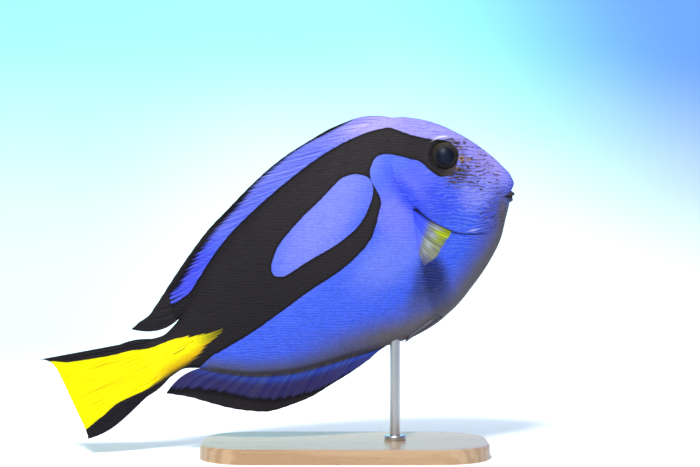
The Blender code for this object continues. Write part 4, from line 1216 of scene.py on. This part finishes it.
def makeTailSpine(sideName, side, material):
    steps, around = spineForm["steps"], spineForm["around"]
    t = np.arange(steps + 1) / steps
    s = spineForm["s"] + 0.2 + (spineForm["length"] - 0.4) * t
    swell = np.sin(math.pi * np.minimum(0.04 + t * 0.62, 1)) ** 0.7
    radius = spineForm["radius"] * 0.92 * np.maximum(swell, 0.05)
    radius = (radius * np.minimum((1 - t) * 7 + 0.25, 1))[:, None]
    y = (halfWidth(s, np.full(s.shape, spineForm["z"])) + 0.06)[:, None]
    turn = 2 * math.pi * np.arange(around) / around
    points = np.stack([s[:, None] + 0 * turn, side * (y + radius * 0.85 * np.cos(turn)),
                       spineForm["z"] + radius * 0.62 * np.sin(turn)], -1).reshape(-1, 3)
    index = np.arange(len(points)).reshape(steps + 1, around)
    beside = np.roll(index, -1, axis=1)
    faces = facesOf(index[:-1], beside[:-1], beside[1:], index[1:])
    faces += [index[0, ::-1].tolist(), index[-1].tolist()]
    if side < 0:
        faces = [face[::-1] for face in faces]
    obj = addPiece(f"tail_blade_{sideName}", toWorld(points), faces, material)
    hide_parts(f"tail_spine_{sideName}")


# Stand

stand = {"rodX": 21.0, "rodRadius": 2.2, "baseTop": 6.0, "collarRadius": 4.6, "collarHeight": 2.2,
         "corner": 0.6, "clear": 0.05, "lift": 0.02, "segments": 72}
woodLook = {
    "light": (0.50, 0.33, 0.19), "dark": (0.36, 0.21, 0.105), "pale": (0.60, 0.43, 0.27),
    "pore": (0.17, 0.09, 0.045), "drift": (5.0, 34.0, 60.0), "growth": (1.4, 17.0, 17.0),
    "bands": (5.0, 5.5, 3.0, 1.2), "pores": (260, 2600, 2600),
}
steelLook = {"dark": (0.52, 0.53, 0.55), "light": (0.72, 0.73, 0.75), "brush": (900, 900, 9000)}


def woodMaterial():
    material, shader, wire = startMaterial("stand_wood_look", {"Coat Roughness": 0.22, "Coat IOR": 1.45})
    place = wire.objectPlace()
    drift = place.stretched(woodLook["drift"]).noise(1.0, 4, 0.55)
    growth = place.stretched(woodLook["growth"]).bands(*woodLook["bands"], "Y")
    pores = place.stretched(woodLook["pores"]).noise(1.0, 2, 0.6).rise(0.60, 0.72)
    colour = (growth.rise(0.2, 0.9) * 0.75).fade(woodLook["light"], woodLook["dark"])
    colour = colour.mixed(woodLook["pale"], drift.rise(0.4, 0.75) * 0.5).mixed(woodLook["pore"], pores * 0.5)
    finishMaterial(wire, shader, {"Base Color": colour, "Roughness": 0.36 + pores * 0.2 + drift * 0.1,
                                  "Coat Weight": 0.35 - pores * 0.3,
                                  "Normal": growth.bump(0.00006, 0.3, pores.bump(0.0001, -0.5))})
    return material


def steelMaterial():
    material, shader, wire = startMaterial("stand_steel_look", {"Metallic": 1.0})
    place = wire.objectPlace()
    brushed, cloud = place.stretched(steelLook["brush"]).noise(1.0, 3, 0.6), place.noise(40)
    finishMaterial(wire, shader, {"Base Color": brushed.fade(steelLook["dark"], steelLook["light"]),
                                  "Roughness": 0.22 + brushed * 0.16 + cloud * 0.1,
                                  "Normal": brushed.bump(0.00004, 0.5)})
    return material


def makeCollar(material):
    # A small turned ring where the rod enters the base.
    rod, wide, top = stand["rodRadius"] + stand["clear"], stand["collarRadius"], stand["collarHeight"]
    corner, segments = stand["corner"], stand["segments"]
    profile = [(rod, stand["lift"]), (wide, stand["lift"])]
    for k in range(7):
        turn = math.pi / 2 * k / 6
        profile.append((wide - corner + corner * math.cos(turn), top - corner + corner * math.sin(turn)))
    radius, z = np.array(profile + [(rod, top)]).T
    turn = (2 * math.pi * np.arange(segments) / segments)[:, None]
    points = np.stack([stand["rodX"] + radius * np.cos(turn), radius * np.sin(turn),
                       stand["baseTop"] + z + 0 * turn], -1)
    index = np.arange(turn.size * z.size).reshape(turn.size, z.size)
    above, beside = np.roll(index, -1, axis=1), np.roll(index, -1, axis=0)
    faces = facesOf(beside, np.roll(above, -1, axis=0), above, index)
    obj = addPiece("stand_collar", points.reshape(-1, 3) * mm, faces, material)
    obj.data.set_sharp_from_angle(angle=math.radians(35))


def makeStand():
    wood, steel = woodMaterial(), steelMaterial()
    for name, material in (("stand_base", wood), ("stand_rod", steel)):
        mesh = nodes[name].data
        mesh.materials.clear()
        mesh.materials.append(material)
        mesh.shade_smooth()
        mesh.set_sharp_from_angle(angle=math.radians(40))
    makeCollar(steel)


# Studio

studio = {
    "floorHalf": 2.2, "front": -0.6, "wallY": 1.25, "bend": 0.5, "wallTop": 2.2, "below": 0.00002,
    "glow": 0.44, "paper": (0.90, 0.93, 0.94), "paperLight": (0.93, 0.95, 0.95),
    "leftTint": (0.66, 0.86, 0.95),
    "nearTint": (0.58, 0.60, 0.62), "sky": (0.29, 0.82, 0.93), "skyDeep": (0.12, 0.28, 0.93),
    "air": (0.93, 0.97, 1.0), "airLight": 0.1,
    "lights": {
        "key": ((-0.2, -0.95, 1.05), (0.0, 0.0, 0.09), (0.2, 0.2), 23.0, (1.0, 1.0, 0.99)),
        "fill": ((-0.9, -0.9, 0.3), (0.0, 0.0, 0.09), (0.8, 0.8), 0.4, (0.97, 0.98, 1.0)),
        "back_wash": ((0.0, 0.35, 1.3), (0.0, 1.1, 0.1), (2.0, 0.6), 9.0, (1.0, 1.0, 1.0)),
    },
}


def stageMaterial():
    # Pale paper below, pale blue higher up and deeper blue to the right.
    material, shader, wire = startMaterial("backdrop_paper", {"Specular IOR Level": 0.2,
                                                              "Emission Strength": studio["glow"]})
    place = wire.objectPlace()
    x, y, z = place.axes()
    grain = place.noise(3.0)
    white = grain.fade(studio["paper"], studio["paperLight"])
    white = white.mixed(studio["leftTint"], (0 - x).rise(0.06, 0.3) * 0.8)
    white = white.mixed(studio["nearTint"], 1 - y.rise(-0.22, -0.03))
    height = (z + (grain - 0.5) * 0.08 + x.rise(0.0, 0.4) * 0.05).rise(0.0, 0.36)
    colour = white.mixed((x + z * 0.5).rise(0.18, 0.56).fade(studio["sky"], studio["skyDeep"]), height)
    finishMaterial(wire, shader, {"Base Color": colour, "Roughness": 0.85 + grain * 0.1,
                                  "Emission Color": colour.scaled(y.rise(-0.15, 0.25))})
    return material


def makeStage():
    # Floor and backdrop in one sweep, so that no horizon shows.
    half, wall, bend = studio["floorHalf"], studio["wallY"], studio["bend"]
    profile = [(-half, 0.0), (studio["front"], 0.0), (0.0, 0.0), (wall - bend, 0.0)]
    for k in range(1, 17):
        turn = math.pi / 2 * k / 16
        profile.append((wall - bend + bend * math.sin(turn), bend - bend * math.cos(turn)))
    profile.append((wall, studio["wallTop"]))
    points = [(x, y, z - studio["below"]) for x in (-half, half) for y, z in profile]
    count = len(profile)
    faces = [(k, k + count, k + count + 1, k + 1) for k in range(count - 1)]
    addMesh("backdrop", points, faces, stageMaterial())


def addLight(name, place, aim, size, power, colour):
    light = bpy.data.lights.new(name, "AREA")
    light.shape, light.size, light.size_y = "RECTANGLE", size[0], size[1]
    light.energy, light.color = power, colour
    obj = bpy.data.objects.new(name, light)
    obj.location = place
    obj.rotation_euler = (Vector(aim) - Vector(place)).to_track_quat("-Z", "Y").to_euler()
    bpy.context.scene.collection.objects.link(obj)


def makeStudio():
    scene = bpy.context.scene
    makeStage()
    for name, light in studio["lights"].items():
        addLight(name, *light)
    scene.world = bpy.data.worlds.new("studio_air")
    scene.world.use_nodes = True
    background = scene.world.node_tree.nodes["Background"]
    background.inputs["Color"].default_value = (*studio["air"], 1)
    background.inputs["Strength"].default_value = studio["airLight"]
    camera = bpy.data.cameras.new("camera")
    camera.lens, camera.sensor_width = view["lens"], 36.0
    camera.clip_start = 0.01
    eye = bpy.data.objects.new("camera", camera)
    eye.location = (view["x"] * mm, -view["away"] * mm, view["z"] * mm)
    eye.rotation_euler = (math.pi / 2, 0, 0)
    scene.collection.objects.link(eye)
    scene.camera = eye
    scene.view_settings.view_transform = "Standard"
    scene.view_settings.look = "None"
    scene.view_settings.exposure = 0.0


def main():
    makeStudio()
    print("studio ready")
    grid, gap = sculpt(skinGrid())
    makeSkin(grid, gap, skinMaterial())
    print("skin ready")
    makeScales(grid, scaleMaterial())
    print("scales ready")
    fins, tailFin = finMaterial("fish_fin", 0.7, 0.12), finMaterial("tail_fin", 0.3, 0.06)
    makeMedianFin("dorsal_fin", dorsal, paintDorsal, fins)
    makeMedianFin("anal_fin", anal, paintAnal, fins)
    makeCaudal(tailFin)
    eyes, horn = eyeMaterial(), spineMaterial()
    for sideName, side in (("right", -1), ("left", 1)):
        makePectoral(sideName, side, fins)
        makePelvic(sideName, side, fins)
        makeEye(sideName, side, eyes)
        makeTailSpine(sideName, side, horn)
    print("fins and eyes ready")
    makeStand()
    print("stand ready")


main()
